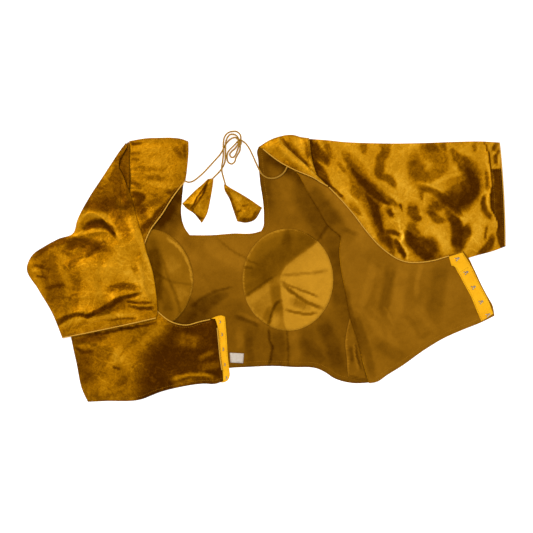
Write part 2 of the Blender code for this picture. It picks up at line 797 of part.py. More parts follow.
def build_doris():
    for name, route in DORIS.items():
        wire(name, smooth(route, 2.4 * CORD), CORD, "piping", 8)
    bpy.ops.mesh.primitive_uv_sphere_add(segments=12, ring_count=8, radius=MM)
    ball = bpy.context.object
    data = ball.data
    bpy.data.objects.remove(ball)
    for corner in data.vertices:
        corner.co = [corner.co[axis] * KNOT_RADII[axis] + KNOT[axis] * MM for axis in range(3)]
    add_object("knot", data, "piping")
    tassel("tassel_left", TASSEL_LEFT)
    tassel("tassel_right", TASSEL_RIGHT)


def main():
    clear_scene()
    group = bpy.data.collections.new("choli_blouse")
    bpy.context.scene.collection.children.link(group)
    build_front()
    build_inside_pieces()
    lining, rolled = build_right_side()
    build_left_side()
    build_neck_piping_right(lining, rolled)
    build_doris()


main()
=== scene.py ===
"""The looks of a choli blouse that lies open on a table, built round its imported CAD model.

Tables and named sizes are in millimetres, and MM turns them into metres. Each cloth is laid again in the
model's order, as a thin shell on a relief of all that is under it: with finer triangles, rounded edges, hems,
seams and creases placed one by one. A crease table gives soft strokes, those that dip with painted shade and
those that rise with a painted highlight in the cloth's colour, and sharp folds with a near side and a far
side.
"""

import math

import bpy
import numpy as np
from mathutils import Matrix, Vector, noise
from mathutils.bvhtree import BVHTree
from mathutils.geometry import barycentric_transform, delaunay_2d_cdt


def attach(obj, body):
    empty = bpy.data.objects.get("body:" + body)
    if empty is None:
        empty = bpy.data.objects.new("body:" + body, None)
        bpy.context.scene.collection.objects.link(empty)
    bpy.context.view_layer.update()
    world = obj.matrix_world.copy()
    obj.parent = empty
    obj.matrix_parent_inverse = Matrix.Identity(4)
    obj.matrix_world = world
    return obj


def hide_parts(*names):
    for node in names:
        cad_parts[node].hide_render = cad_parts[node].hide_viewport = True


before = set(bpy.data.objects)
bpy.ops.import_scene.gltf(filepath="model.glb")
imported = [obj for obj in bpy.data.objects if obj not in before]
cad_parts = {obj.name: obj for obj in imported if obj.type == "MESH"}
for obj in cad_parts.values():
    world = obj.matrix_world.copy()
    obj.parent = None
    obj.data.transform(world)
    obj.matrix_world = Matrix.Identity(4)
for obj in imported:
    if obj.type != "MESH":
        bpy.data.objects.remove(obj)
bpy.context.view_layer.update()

MM = 0.001

# Sizes of cloth and fittings, in millimetres
CLOTH = 0.9  # one cloth with its hem or facing
EDGE = 0.45  # the same at its rounded edge
GAP = 0.25  # clearance between pieces
PAD = 2.8  # middle of a bust pad
CUP_RADII = (68.0, 76.5)
PIPING = 1.8  # diameter of the corded edges
CORD = 2.4  # diameter of the tie cords
HOLLOW = 0.9  # space between the two sides of a flattened sleeve
THREAD = 0.45  # diameter of a stitch
STITCH = 2.8  # length from one stitch to the next
WIRE = 1.0  # diameter of the hooks' and eyes' wire
FINE = 2.6  # side of a triangle on what shows
AIR = 0.9  # how far a panel stands off what it lies on, between its dips
DIP = 0.09  # depth of a crease, as a share of its half width
BACK_TONE = 0.8  # how strongly a cloth's other side shows the same painted shade and highlight of the creases
QUIET_RIM = 9  # width of the strip along an edge where the creases grow from nearly nothing
ROUND_RIM = 1.4  # width of the rounded edge
TURNED_IN = 1.3  # how far the front's lining ends inside its satin
TURNED_IN_BACK = 1.0  # the same at the right back
CUFF_SEAMS = (4.0, 15.0)  # distance of the cuff's seams from its end
PIPING_LIFT = 0.1  # clearance under the corded edges
SEAM_SPACING = 3.0  # spacing of the points along hems, seams and folds
LABEL_THICKNESS = 0.5
TASSEL_FINE = 1.2  # side of a triangle on the tassels
TASSEL_MIDDLE = 5.6  # how much thicker a tassel is at its middle than the 1 mm at its edge
HEM_RISE = 0.45  # extra thickness of a turned hem
HEM_STEP = 1.5  # width of the slope at a hem's inner edge
GROOVE_INSET, GROOVE_WIDTH = 2.2, 1.2  # place and half width of the stitches' groove in a hem
SLEEVE_ROOM = 0.3  # least space between a sleeve's two sides
SLEEVE_QUIET = 12  # how far from its head a sleeve's creases are lower
SLOPE = 0.45  # steepest drape of a cloth over the edge of another
CELL = 2.0  # spacing of the relief's grid
REACH = ((-400.0, 400.0), (-230.0, 230.0))  # the table that the relief covers
SOFTENINGS = 3  # how many times the blanket over the relief is averaged with its neighbours
SAME = 1e-6  # heights this close count as equal
LIFTINGS, LIFTED = 6, 1e-3  # the most rounds of lifting a cloth clear of the relief, and when it is clear
NUDGE = 0.8  # how far to both sides of each spot the relief is read too


# The camera and the light

VIEW_WIDTH = 0.7995  # metres of the table across the picture
VIEW_MIDDLE = (0.0, 0.00285)
SENSOR, LENS = 36.0, 200.0
SKY_STRENGTH = 0.62
WHITE = (1.0, 1.0, 1.0, 1.0)
FLOOR_HALF, FLOOR_HEIGHT = 4.0, -0.0004  # metres


def aim(thing, target):
    thing.rotation_euler = (Vector(target) - thing.location).to_track_quat("-Z", "Y").to_euler()


def make_camera():
    data = bpy.data.cameras.new("camera")
    data.sensor_width, data.lens = SENSOR, LENS
    camera = bpy.data.objects.new("camera", data)
    camera.location = (*VIEW_MIDDLE, VIEW_WIDTH * LENS / SENSOR)
    bpy.context.scene.collection.objects.link(camera)
    bpy.context.scene.camera = camera


LIGHTS = (
    # name, place, side, watts, warmth
    ("key", (-0.9, 1.0, 2.0), 0.9, 30.0, (1.0, 0.98, 0.95)),
    ("fill", (1.3, -0.9, 1.5), 1.3, 12.0, (0.97, 0.98, 1.0)),
)


def light_scene():
    for name, place, side, watts, colour in LIGHTS:
        data = bpy.data.lights.new(name, "AREA")
        data.size, data.energy, data.color = side, watts, colour
        lamp = bpy.data.objects.new(name, data)
        lamp.location = place
        aim(lamp, (0, 0, 0))
        bpy.context.scene.collection.objects.link(lamp)
    world = bpy.data.worlds.new("studio")
    world.use_nodes = True
    sky = world.node_tree.nodes["Background"]
    sky.inputs["Color"].default_value = WHITE
    sky.inputs["Strength"].default_value = SKY_STRENGTH
    bpy.context.scene.world = world
    bpy.context.scene.view_settings.view_transform = "Standard"


# Outlines run clockwise. Each is a ring of named edges: an edge is a smooth curve through its (x, y) points
# that ends in a corner, where the next edge starts.
FRONT = {
    "neck_left": ((-119, 188), (-121, 155), (-124, 131), (-127, 101), (-128, 84), (-126, 70), (-121, 58)),
    "neck_low": ((-115, 50), (-83, 50), (-50, 52.5), (-19, 53)),
    "neck_right": ((-8, 56), (-5, 62), (-4, 77), (-6, 106), (-9, 124), (-11, 143), (-12.5, 162), (-14, 177)),
    "shoulder_right": ((-12, 182), (-1.5, 189), (8, 194), (19.5, 198), (41.5, 199.5), (51, 197)),
    "armhole_right": ((63, 195), (66, 163), (74, 125), (88, 88), (104, 58)),
    "side_right": ((118, 40), (132, -17), (151, -92), (160, -140)),
    "hem": (
        (163, -170.5), (129, -172), (113, -169), (100, -164), (89, -156.5), (78, -151), (39, -148),
        (14, -146.5), (-29, -148), (-57, -149.5), (-100, -158), (-150, -178), (-205, -190),
    ),
    "side_left": ((-267, -191), (-280, -142), (-288, -104), (-294, -45)),
    "armhole_left": ((-293, 0), (-258, 30), (-230, 75), (-213, 120), (-208, 160)),
    "shoulder_left": ((-206, 186), (-160, 191)),
}
BACK_LEFT = {
    "shoulder": ((-206, 191), (-183, 195), (-160, 196), (-140, 196), (-126, 194)),
    "strap": ((-117, 190.5), (-117, 172), (-118.5, 155), (-120.5, 138)),
    "neck": (
        (-122, 130.2), (-140, 106), (-156.5, 80), (-173, 57), (-180, 42), (-188, 10), (-185, -25),
        (-175, -50), (-160, -66), (-142, -79), (-121, -84), (-100, -79), (-84.5, -75.5),
    ),
    "opening": ((-77, -75.5), (-73, -89), (-71, -110), (-69, -131), (-66, -152)),
    "hem": ((-65, -169), (-76, -173), (-95, -173), (-127, -177.5), (-158, -185), (-190, -197), (-241, -199)),
    "side": ((-268, -200.2), (-276, -183), (-285, -142), (-293, -104), (-299, -50)),
    "armhole": ((-300, 4), (-264, 20), (-232, 50), (-213, 88), (-205, 118), (-204.5, 138), (-207, 163)),
}
BACK_RIGHT = {
    "neck": (
        (34, 155), (41.5, 147), (56, 141), (70, 135), (93, 121.5), (112, 104), (131, 82), (150, 57),
        (169, 35.5), (184, 23), (197, 15), (210.5, 10.5), (230.5, 10), (251, 13), (273, 19.5),
    ),
    "opening": ((295, 26.5), (303, 15.5), (312.5, -3.5), (322, -24), (331.5, -42), (339, -55.5)),
    "hem": (
        (342, -71), (322, -81), (291, -93.5), (264.5, -105.5), (238, -121.5), (200.5, -148), (181, -160),
        (166, -170),
    ),
    "side": ((154, -172.5), (147, -151), (137.5, -113.5), (124, -70.5), (118, -36), (110, 9.5), (109, 26)),
    "fold": ((111, 48), (92.5, 63), (76.5, 89), (59, 117.5), (49, 138.5)),
}
STRAP_LOWER = {
    "shoulder": ((16, 196.5), (22, 198.5), (41.5, 200), (51, 197.2)),
    "armhole": ((64, 195.3), (66, 177), (70, 156)),
    "tip": ((75, 141),),
    "under": ((67, 140), (50, 154), (32, 170), (19, 184)),
}
STRAP_ROLLED = {
    "neck": ((93, 121.5), (83, 127), (70, 135), (56, 141), (41.5, 147), (22.5, 157), (3, 171), (-6, 178.5)),
    "shoulder": ((-11.5, 181), (-1.5, 189), (8, 194)),
    "ridge": ((19.5, 198), (22.5, 189), (29, 182), (40, 172), (61, 153), (73, 141.5), (85, 130)),
}
SLEEVE_CAP = {
    "seam": ((-206.8, 190), (-204.8, 181), (-205.2, 163), (-205, 151), (-204.6, 138), (-205.5, 118)),
    "foot": ((-207.5, 98), (-214, 92)),
    "under": ((-222, 100), (-227, 140), (-224, 165), (-216, 182)),
}
SIDE_ALLOWANCE = {
    "edge": ((126, -70), (120, -95), (118, -114), (120, -133), (121, -148)),
    "foot": ((122, -163),),
    "seam": ((150, -169), (144, -135), (134, -98)),
}
EYE_PLACKET = {
    "top": ((-86, -77), (-78, -73), (-67, -70.5)),
    "edge": ((-62, -72.5), (-60.5, -90), (-59, -110), (-58, -131), (-56, -149), (-55.5, -163)),
    "foot": ((-58, -168), (-64, -171)),
    "inner": ((-78, -168), (-84, -120)),
}
HOOK_PLACKET = {
    "top": ((273, 17.5),),
    "edge": ((294, 24), (308, 1), (321, -26), (332, -47)),
    "foot": ((340, -68),),
    "inner": ((322, -79.5), (312, -56), (308.5, -47), (296, -23), (284.5, -2), (281.5, 3)),
    "tab": ((277, 4),),
}
LABEL = {"top": ((-55, -126.5),), "side": ((-34, -127.5),), "foot": ((-35, -142),), "inner": ((-54, -141),)}
TASSEL_LEFT = {
    "top": ((-88, 134), (-80, 134.5)),
    "side": ((-80, 128), (-84, 104), (-90, 80)),
    "foot": ((-97, 68), (-111, 84), (-119, 89)),
    "edge": ((-126.5, 97), (-107, 117), (-92, 130)),
}
TASSEL_RIGHT = {
    "top": ((-64, 126), (-60, 125)),
    "edge": ((-56, 122), (-30, 107)),
    "foot": ((-6.5, 91), (-19, 72), (-31, 68.5)),
    "side": ((-44, 70.5), (-50, 88), (-56, 105), (-63, 118)),
}
CUPS = {
    # node: x and y of its middle, height of its rim above the middle of its bowl
    "cup_left": (-178.0, -17.0, 4.0),
    "cup_right": (32.0, -17.0, 7.0),
}

# Sleeve sections from the shoulder to the cuff: the two ends of the flattened tube across its width, and
# how far the section bows towards the cuff at its middle.
SLEEVE_RIGHT = (
    # ax, ay, bx, by, bow
    (60, 194.5, 68, 146, 0),
    (90, 192.5, 98, 84, 0),
    (119, 189.5, 128, 33, 0),
    (157, 188, 180, 12, 0),
    (200, 187.5, 238, 1, 0),
    (245, 188.5, 283, 10, 0),
    (287, 190, 316, 19.5, 0),
    (322, 190.5, 340, 26, 1),
    (350, 189, 358.5, 33, 2),
)
SLEEVE_LEFT = (
    # ax, ay, bx, by, bow
    (-211, 188, -208, 183, 0),
    (-223, 172, -220.5, 159, 0),
    (-244, 140, -215, 140, 0),
    (-268, 103, -201, 103, 0),
    (-284, 72, -193, 72, 0),
    (-290, 53, -187, 54, 0),
    (-313, 44, -181, 32, 0),
    (-334, 32.5, -178, 20, 0),
    (-350, 21.5, -175, 11, 0),
    (-359.5, 2, -171, -2, 0),
    (-342, -32, -166, -30, 0),
    (-321, -68, -163, -60, 0),
    (-306, -105, -164.5, -75, -3),
)


# Tie cords, from where each leaves the neck's edge to inside its tassel: x, y and height of the middle.
DORIS = {
    "left": (
        (-121.6, 130.6, 5.6), (-117, 129.2, 5), (-110, 131, 2.4), (-103, 136, 1.3), (-95, 143, 1.3),
        (-86, 152.5, 1.3), (-77, 162.5, 1.3), (-70, 170.5, 1.3), (-66, 177, 1.3), (-62.5, 184, 1.3),
        (-58, 190, 1.3), (-52, 195, 1.4), (-46.5, 196.2, 2.2), (-42.2, 193.5, 3), (-40.6, 189.4, 3.6),
        (-43.6, 184.8, 3.2), (-47, 180, 1.8), (-52, 175.5, 1.3), (-55, 171, 1.3), (-53.5, 167, 1.3),
        (-49.5, 166.8, 1.3), (-46.8, 170, 1.3), (-44.6, 175, 1.5), (-42.4, 180.8, 2.2), (-41, 186.4, 3),
        (-41.6, 192.4, 4), (-45.6, 199.5, 5.2), (-50, 201, 4.2), (-54.6, 200.4, 4.2), (-58.6, 196, 4.2),
        (-61, 189, 4.2), (-61.6, 181, 4.2), (-61.6, 172, 4), (-61.8, 163, 2.6), (-63.8, 155.5, 1.3),
        (-68, 148.5, 1.3), (-73.5, 142, 1.4), (-78.5, 137, 2.4), (-84, 131.4, 3.4), (-89, 126.6, 3.8),
    ),
    "right": (
        (31, 152.5, 5), (27, 145, 4.4), (20, 138.6, 4.3), (11, 135.2, 4.3), (1, 136, 4.3), (-6, 140.5, 4.3),
        (-11, 148, 4.3), (-16, 158.5, 2.8), (-21, 170, 1.3), (-26, 180, 1.4), (-31, 187, 2),
        (-35.6, 190.8, 3.2), (-39.6, 192.4, 3.8), (-43, 190.6, 3.8), (-46, 187.2, 3.4), (-50, 183, 4.2),
        (-55, 178, 4.2), (-58.6, 172.5, 3.4), (-59, 165, 1.8), (-57.2, 159, 1.3), (-52.5, 156.6, 1.3),
        (-48, 159.5, 1.3), (-46, 165.5, 1.4), (-43, 171, 1.4), (-40, 176.5, 1.6), (-39.4, 181.2, 2.2),
        (-39.2, 187, 3), (-38.6, 192.6, 3.8), (-38.6, 197.4, 4.6), (-40.5, 202, 3.2), (-45, 205.2, 2.8),
        (-51, 205.4, 3.4), (-58, 203, 4.2), (-63, 196.8, 4.2), (-64.6, 189, 4.2), (-64.8, 180, 4.2),
        (-64.8, 170, 4), (-65.8, 161, 4.2), (-67, 153, 4.2), (-66.6, 144, 2.6), (-64.6, 136, 1.5),
        (-62.6, 129, 2.4), (-60.6, 121.6, 3.2), (-57.6, 114.6, 3.8),
    ),
}
KNOT = (-40.8, 190.0, 3.6)  # middle of the bow's knot
KNOT_TURNS = 2.6  # of cord, wrapped round it
KNOT_CLIMB = 3.4  # how far the wraps reach to each side of its middle
NECK_PIPING_START = (94.2, 122.3)  # where the right neck's two pipings meet
STRAP_PIPING_START = (91.5, 122.4)
STRAP_OVERLAP = 6.0  # how far past the strap's end the neck's piping takes up the right back's own points
HOOKS = ((285, 14), (298.5, -6.5), (309.5, -28.5), (321, -50.5), (331.5, -70))  # x, y on the hook placket
HOOK_TURN = math.radians(-62)  # the placket's direction
HOOK_WIRE = (
    # along the hook, sideways: half of the wire, from one end to its tip
    (-2.6, -1.5),
    (-1.6, -2.2),
    (-0.6, -1.5),
    (0.2, -1.0),
    (3.2, -0.7),
    (3.8, 0.0),
)
HOOK_SEAM = ((290, -5), (305, 3))  # the short seam across the hook placket
EYE_RADII = (1.8, 1.9)
EYES = ((-70.5, -80), (-67.7, -99), (-65.8, -121), (-63.6, -144), (-61.2, -164))  # x, y on the eye placket

# Creases. A stroke is (tone, half width, its points): tone is light painted into the cloth's colour, from -1,
# painted shade in a dip, to 1, a painted highlight on a rise. A point is its x, its y and, where it differs,
# its own half width.
STROKES = {
    "sleeve_right": (
        (-0.6, 9, (
            (116, 173, 4), (131, 155), (145, 137), (159, 121), (175, 109, 8), (191, 97, 4), (197, 93, 2),
        )),
        (-1.0, 4, ((129, 148, 2), (144, 130), (162, 112), (182, 96, 2))),
        (-0.55, 12, (
            (129, 137, 5), (141, 119), (155, 101), (163, 79, 10), (170, 58, 7), (179, 44, 6), (185, 34, 4),
        )),
        (-1.0, 4, ((150, 110, 2), (162, 92), (168, 68), (175, 52, 2))),
        (-0.8, 6, ((70, 189, 5), (76, 175), (86, 165), (93, 157, 3))),
        (-0.8, 6, ((72, 161, 2), (80, 147), (88, 131), (98, 121, 3))),
        (-0.4, 3, ((88, 189), (94, 175, 4), (96, 163, 2))),
        (-0.4, 3, ((108, 158, 2), (113, 151), (119, 144, 2))),
        (-0.65, 6, (
            (177, 187), (179, 175), (171, 163), (169, 149, 7), (171, 138, 4.5), (183, 135, 5),
            (189, 129, 4.5), (194, 121, 2),
        )),
        (-0.45, 4, ((146, 186, 5), (147, 173, 3))),
        (-0.55, 12, ((222, 164, 8), (224, 150), (230, 139), (244, 136, 7))),
        (-0.4, 12, ((229, 172, 8), (247, 174, 12), (261, 162), (257, 147, 9), (246, 140, 7))),
        (-0.4, 6, ((238, 186, 8), (255, 181))),
        (-0.6, 3, ((263, 188, 4), (270, 176, 2))),
        (-0.7, 11, (
            (278, 177, 3), (287, 165, 7), (299, 153), (309, 139), (309, 123, 12), (302, 107, 12), (289, 98),
            (277, 107, 8), (270, 113, 4),
        )),
        (-1.0, 5, ((300, 148, 3), (311, 134), (312, 120), (303, 104, 6), (290, 96, 3))),
        (-0.6, 4.5, (
            (225, 123, 3), (233, 121), (247, 117), (259, 111), (271, 101), (283, 90), (293, 80, 2.4),
            (299, 77, 1),
        )),
        (-0.45, 12, ((284, 128), (292, 112), (284, 100))),
        (-0.4, 8, ((248, 98), (264, 104), (282, 112))),
        (1.0, 1.3, ((198, 72), (200, 60), (205, 47), (203, 38), (209, 28), (211, 15))),
        (-0.5, 3, ((231, 115, 4), (232, 104, 2))),
        (-0.5, 7, ((239, 86, 4), (253, 91), (267, 95), (279, 86))),
        (-0.65, 5, ((242, 84, 2), (250, 78), (259, 73), (268, 71, 2))),
        (-0.95, 7, ((273, 80, 5), (283, 70), (285, 56), (284, 44), (288, 33))),
        (-0.8, 7, ((303, 66, 3), (299, 54), (293, 42), (287, 30))),
        (-0.75, 6, ((219, 95), (221, 83, 7), (229, 75, 4), (234, 76, 1.5))),
        (-0.55, 6, ((219, 70), (217, 60), (227, 48))),
        (-0.85, 10, ((209, 53, 3), (217, 42, 8), (227, 34, 12), (241, 28, 13), (256, 19, 7))),
        (-1.0, 5, ((211, 54, 2), (221, 36), (233, 24), (246, 16))),
        (-0.4, 7, ((243, 45), (253, 32))),
        (-0.85, 2.8, ((178, 55), (191, 54), (200, 50, 2))),
        (-1.0, 4, ((193, 43, 2), (199, 32), (205, 22, 3), (207, 15, 2))),
        (-0.7, 4, ((181, 48, 2), (187, 38, 5), (189, 22))),
        (-0.85, 4, ((182, 88), (189, 78, 3))),
        (-0.8, 1.5, ((200, 97), (202, 87))),
        (-0.8, 3.8, ((328, 111, 2.5), (325, 99), (329, 85, 4.4), (338, 74, 3))),
        (-0.6, 3.4, ((330, 146, 2.5), (332, 129), (331, 116, 2))),
        (-0.6, 1.8, ((330, 63), (328, 44))),
        (-0.75, 4, ((340, 49, 3), (331, 31, 5), (318, 21, 3))),
        (-0.45, 3, ((311, 186), (313, 176, 2))),
        (-0.4, 5, ((126, 100, 3), (132, 90), (140, 80, 2))),
        (-0.4, 6, ((166, 54, 3), (178, 38))),
        (-0.4, 2, ((340, 182), (345, 172), (343, 156))),
        (0.25, 5, ((108, 131), (118, 111), (138, 95))),
        (0.3, 5, ((139, 101, 3), (147, 87), (157, 70, 4))),
        (0.6, 2.5, ((128, 166), (147, 146), (163, 129), (181, 113), (198, 102))),
        (0.35, 7, ((205, 150), (205, 120), (215, 108))),
        (0.5, 2.5, ((251, 127), (268, 136), (292, 143))),
        (0.6, 2.5, ((228, 128), (248, 122), (262, 115), (280, 100))),
        (-1.0, 1.1, (
            (327, 191), (331, 178), (335, 160), (338, 130), (336, 108), (338, 91), (347, 68), (346, 48),
        )),
        (-0.6, 2.4, ((345, 187), (339, 178))),
        (-0.6, 2, ((350, 178), (343, 166), (345, 156))),
        (0.5, 2, ((341, 174), (349, 168), (347, 157))),
        (-0.8, 1.2, ((351, 150), (353, 110), (355, 60))),
        (-0.6, 7, ((60, 190), (66, 168), (74, 150))),
        (-0.9, 1.5, ((66, 195), (67, 178), (70, 160), (77, 138))),
        (-0.7, 2, ((78, 138), (96, 123), (116, 105))),
        (0.5, 2.6, ((330, 168), (334, 145), (335, 126), (329, 109), (331, 91), (339, 75), (344, 65))),
        (0.4, 6, ((304, 72), (296, 80))),
        (0.35, 8, ((240, 62), (262, 52), (272, 36))),
        (0.4, 8, ((318, 66), (312, 40))),
    ),
    "sleeve_left": (
        (0.4, 4, ((-231, 155), (-246, 132, 6))),
        (-0.9, 3, ((-218, 166), (-216, 152), (-210, 138, 2))),
        (-0.5, 6, ((-214, 126), (-208, 104), (-202, 88))),
        (-0.4, 8, ((-284, 92), (-258, 94), (-232, 92))),
        (0.15, 6, ((-226, 86), (-212, 74), (-198, 78))),
        (0.36, 4.5, (
            (-286, 58), (-281, 77), (-268, 84), (-250, 81), (-235, 70, 3.5), (-227, 56), (-214, 42, 6),
        )),
        (-1.0, 5, ((-272, 60, 3), (-261, 66), (-246, 67), (-234, 59, 4), (-226, 47, 2))),
        (0.4, 3, ((-300, 44), (-284, 50), (-265, 57), (-244, 57))),
        (-0.72, 7, ((-301, 28, 4), (-288, 38), (-272, 37), (-257, 34), (-243, 37, 4))),
        (-0.45, 10, ((-236, 96), (-222, 84), (-206, 88))),
        (-0.25, 5, ((-222, 80), (-214, 62), (-209, 44))),
        (-0.45, 4, ((-269, 20, 3), (-253, 27), (-238, 30))),
        (-0.5, 2.5, ((-306, 24), (-293, 20))),
        (-0.35, 5, ((-299, 1), (-284, 16), (-264, 24))),
        (-0.65, 5, ((-350, 18), (-330, 32), (-312, 41), (-290, 44, 3))),
        (-0.6, 2, ((-348, 5), (-335, 3))),
        (0.3, 2, ((-351, -3), (-331, -2))),
        (-0.5, 1.6, ((-344, -12), (-332, -14))),
        (-0.55, 2.6, ((-328, -30), (-316, -26), (-306, -27))),
        (-0.35, 7, ((-289, -2), (-285, -32), (-293, -62))),
        (-0.45, 12, ((-334, 14), (-324, -10), (-312, -50))),
        (-0.4, 6, ((-222, 114), (-213, 96))),
        (-0.5, 4, ((-235, -32), (-223, -27), (-208, -26), (-193, -30))),
        (-0.3, 8, ((-222, -34), (-204, -33))),
        (-0.45, 4, ((-199, 4), (-194, -6))),
        (0.35, 3, ((-231, -43), (-212, -37), (-190, -34))),
        (-0.9, 3.2, ((-268, -70, 1.5), (-246, -61), (-231, -52, 4), (-216, -45), (-188, -38, 2))),
        (-0.4, 6, ((-250, -66), (-230, -58), (-210, -52))),
        (-0.85, 2.6, ((-314, -82, 4), (-295, -72), (-280, -69), (-269, -72), (-256, -67, 1.5))),
        (0.35, 3, ((-310, -88), (-292, -79), (-276, -78))),
        (-0.75, 2, ((-209, -49), (-190, -53), (-174, -51))),
        (-0.75, 2, ((-205, -57), (-182, -60), (-170, -59))),
        (0.4, 1.6, ((-204, -53), (-184, -57), (-172, -55))),
        (0.35, 2.5, ((-263, -77), (-240, -72), (-214, -69), (-192, -70))),
        (-0.5, 1.5, ((-236, -78), (-212, -75), (-196, -75))),
        (0.55, 12, ((-210, 2), (-190, -16), (-178, -44))),
        (0.35, 13, ((-250, -20), (-225, 5), (-205, 30))),
        (0.45, 5, ((-202, 66), (-186, 38), (-174, 0), (-169, -40))),
    ),
    "back_left": (
        (-0.5, 3, ((-137, 180), (-127, 167))),
        (-0.5, 2, ((-124, 185), (-122, 166))),
        (-0.45, 2, ((-202, 172), (-189, 173))),
        (-0.4, 2, ((-202, 163), (-192, 163))),
        (-0.8, 1.8, ((-203, 186), (-188, 188))),
        (-0.55, 3, ((-203, 131), (-197, 127), (-190, 123))),
        (-0.85, 4, ((-203, 111), (-186, 107), (-194, 99))),
        (-0.5, 6, ((-196, 96), (-186, 84), (-182, 70))),
        (-0.35, 2, ((-171, 111), (-163, 111))),
        (-0.6, 3, ((-149, 115), (-141, 113), (-133, 118))),
        (-0.35, 4, ((-190, 84), (-171, 98), (-152, 106))),
        (-0.75, 4, ((-188, 54), (-167, 77), (-145, 100), (-129, 115))),
        (-0.3, 3, ((-196, 150), (-170, 148), (-150, 150))),
        (-0.3, 3, ((-180, 136), (-156, 134))),
        (0.3, 5, ((-188, 74), (-172, 88))),
        (0.25, 17, ((-178, 178), (-164, 160), (-166, 138))),
        (-0.2, 26, ((-268, -118), (-256, -170))),
        (0.3, 7, ((-176, 132), (-150, 126))),
        (-0.55, 4, ((-289, -111), (-272, -107), (-250, -104), (-238, -100))),
        (-0.7, 2, ((-287, -118), (-276, -124), (-261, -124))),
        (-0.4, 3, ((-262, -114), (-254, -113))),
        (0.35, 5, ((-219, -119), (-238, -152))),
        (0.4, 2.6, ((-201, -111), (-219, -141))),
        (0.3, 6, ((-160, -92), (-176, -104), (-186, -122))),
        (-0.35, 3, ((-196, -104), (-216, -132))),
        (-0.35, 9, ((-276, -140), (-264, -168))),
        (-0.7, 1.2, ((-231, -147), (-219, -151))),
        (-0.4, 4, ((-220, -171), (-208, -163))),
        (0.35, 5, ((-244, -170), (-246, -190))),
        (-0.4, 14, ((-164, -116), (-178, -140), (-186, -176))),
        # painted shadow of the left cuff on the back
        (-0.9, 1.5, ((-268, -101.5), (-240, -96), (-210, -90), (-166, -81))),
        (0.4, 3, ((-101, -136), (-82, -126))),
        (0.3, 5, ((-98, -148), (-74, -144))),
        (0.5, 2.4, ((-142, -166), (-126, -161), (-90, -160), (-82, -163))),
        (0.25, 3, ((-135, -174), (-110, -168))),
        (0.35, 8, ((-130, -104), (-104, -112))),
    ),
    "strap_rolled": (
        (0.4, 4, ((18, 188), (36, 168), (56, 148), (80, 130))),
        (-0.25, 5, ((30, 160), (48, 148))),
        (0.2, 4, ((2, 187), (14, 182))),
        (0.7, 2, ((20, 196), (23, 189), (29, 182), (40, 172), (61, 153), (73, 141), (88, 127))),
    ),
    "strap_lower": (
        (-0.3, 3, ((30, 190), (42, 180), (54, 166))),
        (-0.7, 1.8, ((23, 196), (27, 189), (33, 182), (44, 172), (65, 153))),
        (0.6, 1.6, ((61, 196), (63, 178), (66, 162), (71, 148))),
        (0.4, 5, ((44, 192), (58, 170))),
        (-0.6, 3, ((60, 188), (64, 165))),
    ),
    "front": (
        (-0.5, 2.2, ((-112, -58), (-100, -47), (-82, -37), (-52, -28, 1.4))),
        (-0.6, 13, ((-136, -92), (-118, -72), (-102, -60), (-84, -50, 8), (-62, -40, 4))),
        (-0.3, 14, ((-96, -72), (-62, -66), (-30, -62))),
        (0.35, 2.5, ((-44, -67), (-26, -73), (-12, -80))),
        (-0.45, 2.5, ((-46, -73), (-27, -79), (-13, -86))),
        (-0.35, 1.2, ((-74, 45), (-50, 26), (-24, 12))),
        (-0.3, 1.2, ((-36, 4), (-20, 6))),
        (0.25, 8, ((-84, 34), (-56, 14), (-34, 6))),
        (-0.8, 1.8, ((4, -90), (4, -106), (8, -116), (4, -146))),
        (-0.4, 8, ((16, -94), (18, -120), (15, -144))),
        (-0.5, 1.2, ((31, -92), (32, -118), (33, -147))),
        (0.3, 6, ((40, -98), (44, -140))),
        (-0.35, 5, ((-26, -100), (-24, -144))),
        (0.25, 5, ((-40, -92), (-38, -120))),
        (-0.35, 6, ((72, -124), (86, -140))),
        (-0.5, 9, ((84, -80), (98, -112), (108, -150))),
        (-0.35, 8, ((60, -90), (66, -130))),
        (-0.55, 11, ((104, 34), (106, -10), (112, -58))),
        (-0.4, 1.5, ((92, 66), (84, 52), (72, 36))),
        (0.3, 1.5, ((96, 62), (86, 46))),
        # painted shadow along the left back's neck edge
        (-0.9, 10, ((-124, 134), (-138, 104), (-156, 78), (-168, 62))),
        (-0.6, 16, ((-134, 90), (-154, 62), (-166, 30))),
        (0.2, 9, ((-150, 44), (-128, 30), (-112, 10))),
        # painted shadow under the rolled strap's edge
        (-0.75, 12, ((2, 176), (22, 162), (48, 144), (64, 128))),
        (-0.45, 9, ((-8, 168), (-4, 130), (2, 90))),
        (-0.5, 16, ((58, 116), (76, 80), (92, 50))),
        (0.15, 12, ((-70, 30), (-30, 34), (-8, 20))),
        (0.2, 10, ((24, 140), (34, 110), (30, 80))),
    ),
    "cup_right": (
        (-0.42, 12, ((78, 50, 4), (50, 38), (26, 24), (4, 8), (-8, -8))),
        (-0.12, 24, ((30, 40), (4, 22), (-14, -4))),
        (-0.35, 7, ((10, -10), (-6, -18), (-26, -32))),
        (0.3, 7, ((-30, 10), (-20, 32), (0, 50), (20, 58))),
        (0.75, 1.5, (
            (84, 33), (68, 51), (46, 59), (22, 58), (-4, 49), (-22, 29), (-33, 5), (-35, -20), (-30, -46),
            (-18, -67), (0, -82),
        )),
        (-0.5, 4, ((30, 54), (30, 34, 6))),
        (0.25, 4, ((46, 50), (44, 36))),
        (-0.5, 1.6, ((-32, -43), (-10, -26), (14, -11))),
        (0.3, 5, ((-28, -50), (-8, -36), (10, -22))),
        (-0.5, 6, ((12, -24), (14, -42), (18, -66))),
        (-0.9, 1.8, ((3, -84), (8, -66), (13, -54), (21, -48))),
        (-0.4, 4, ((-2, -80), (4, -62))),
        (0.4, 4, ((12, -84), (16, -66))),
        (-0.6, 1.8, ((23, -20), (50, -32), (76, -42))),
        (-0.75, 2.2, ((25, -25), (50, -44), (82, -60))),
        (0.3, 2, ((27, -20), (54, -36), (84, -52))),
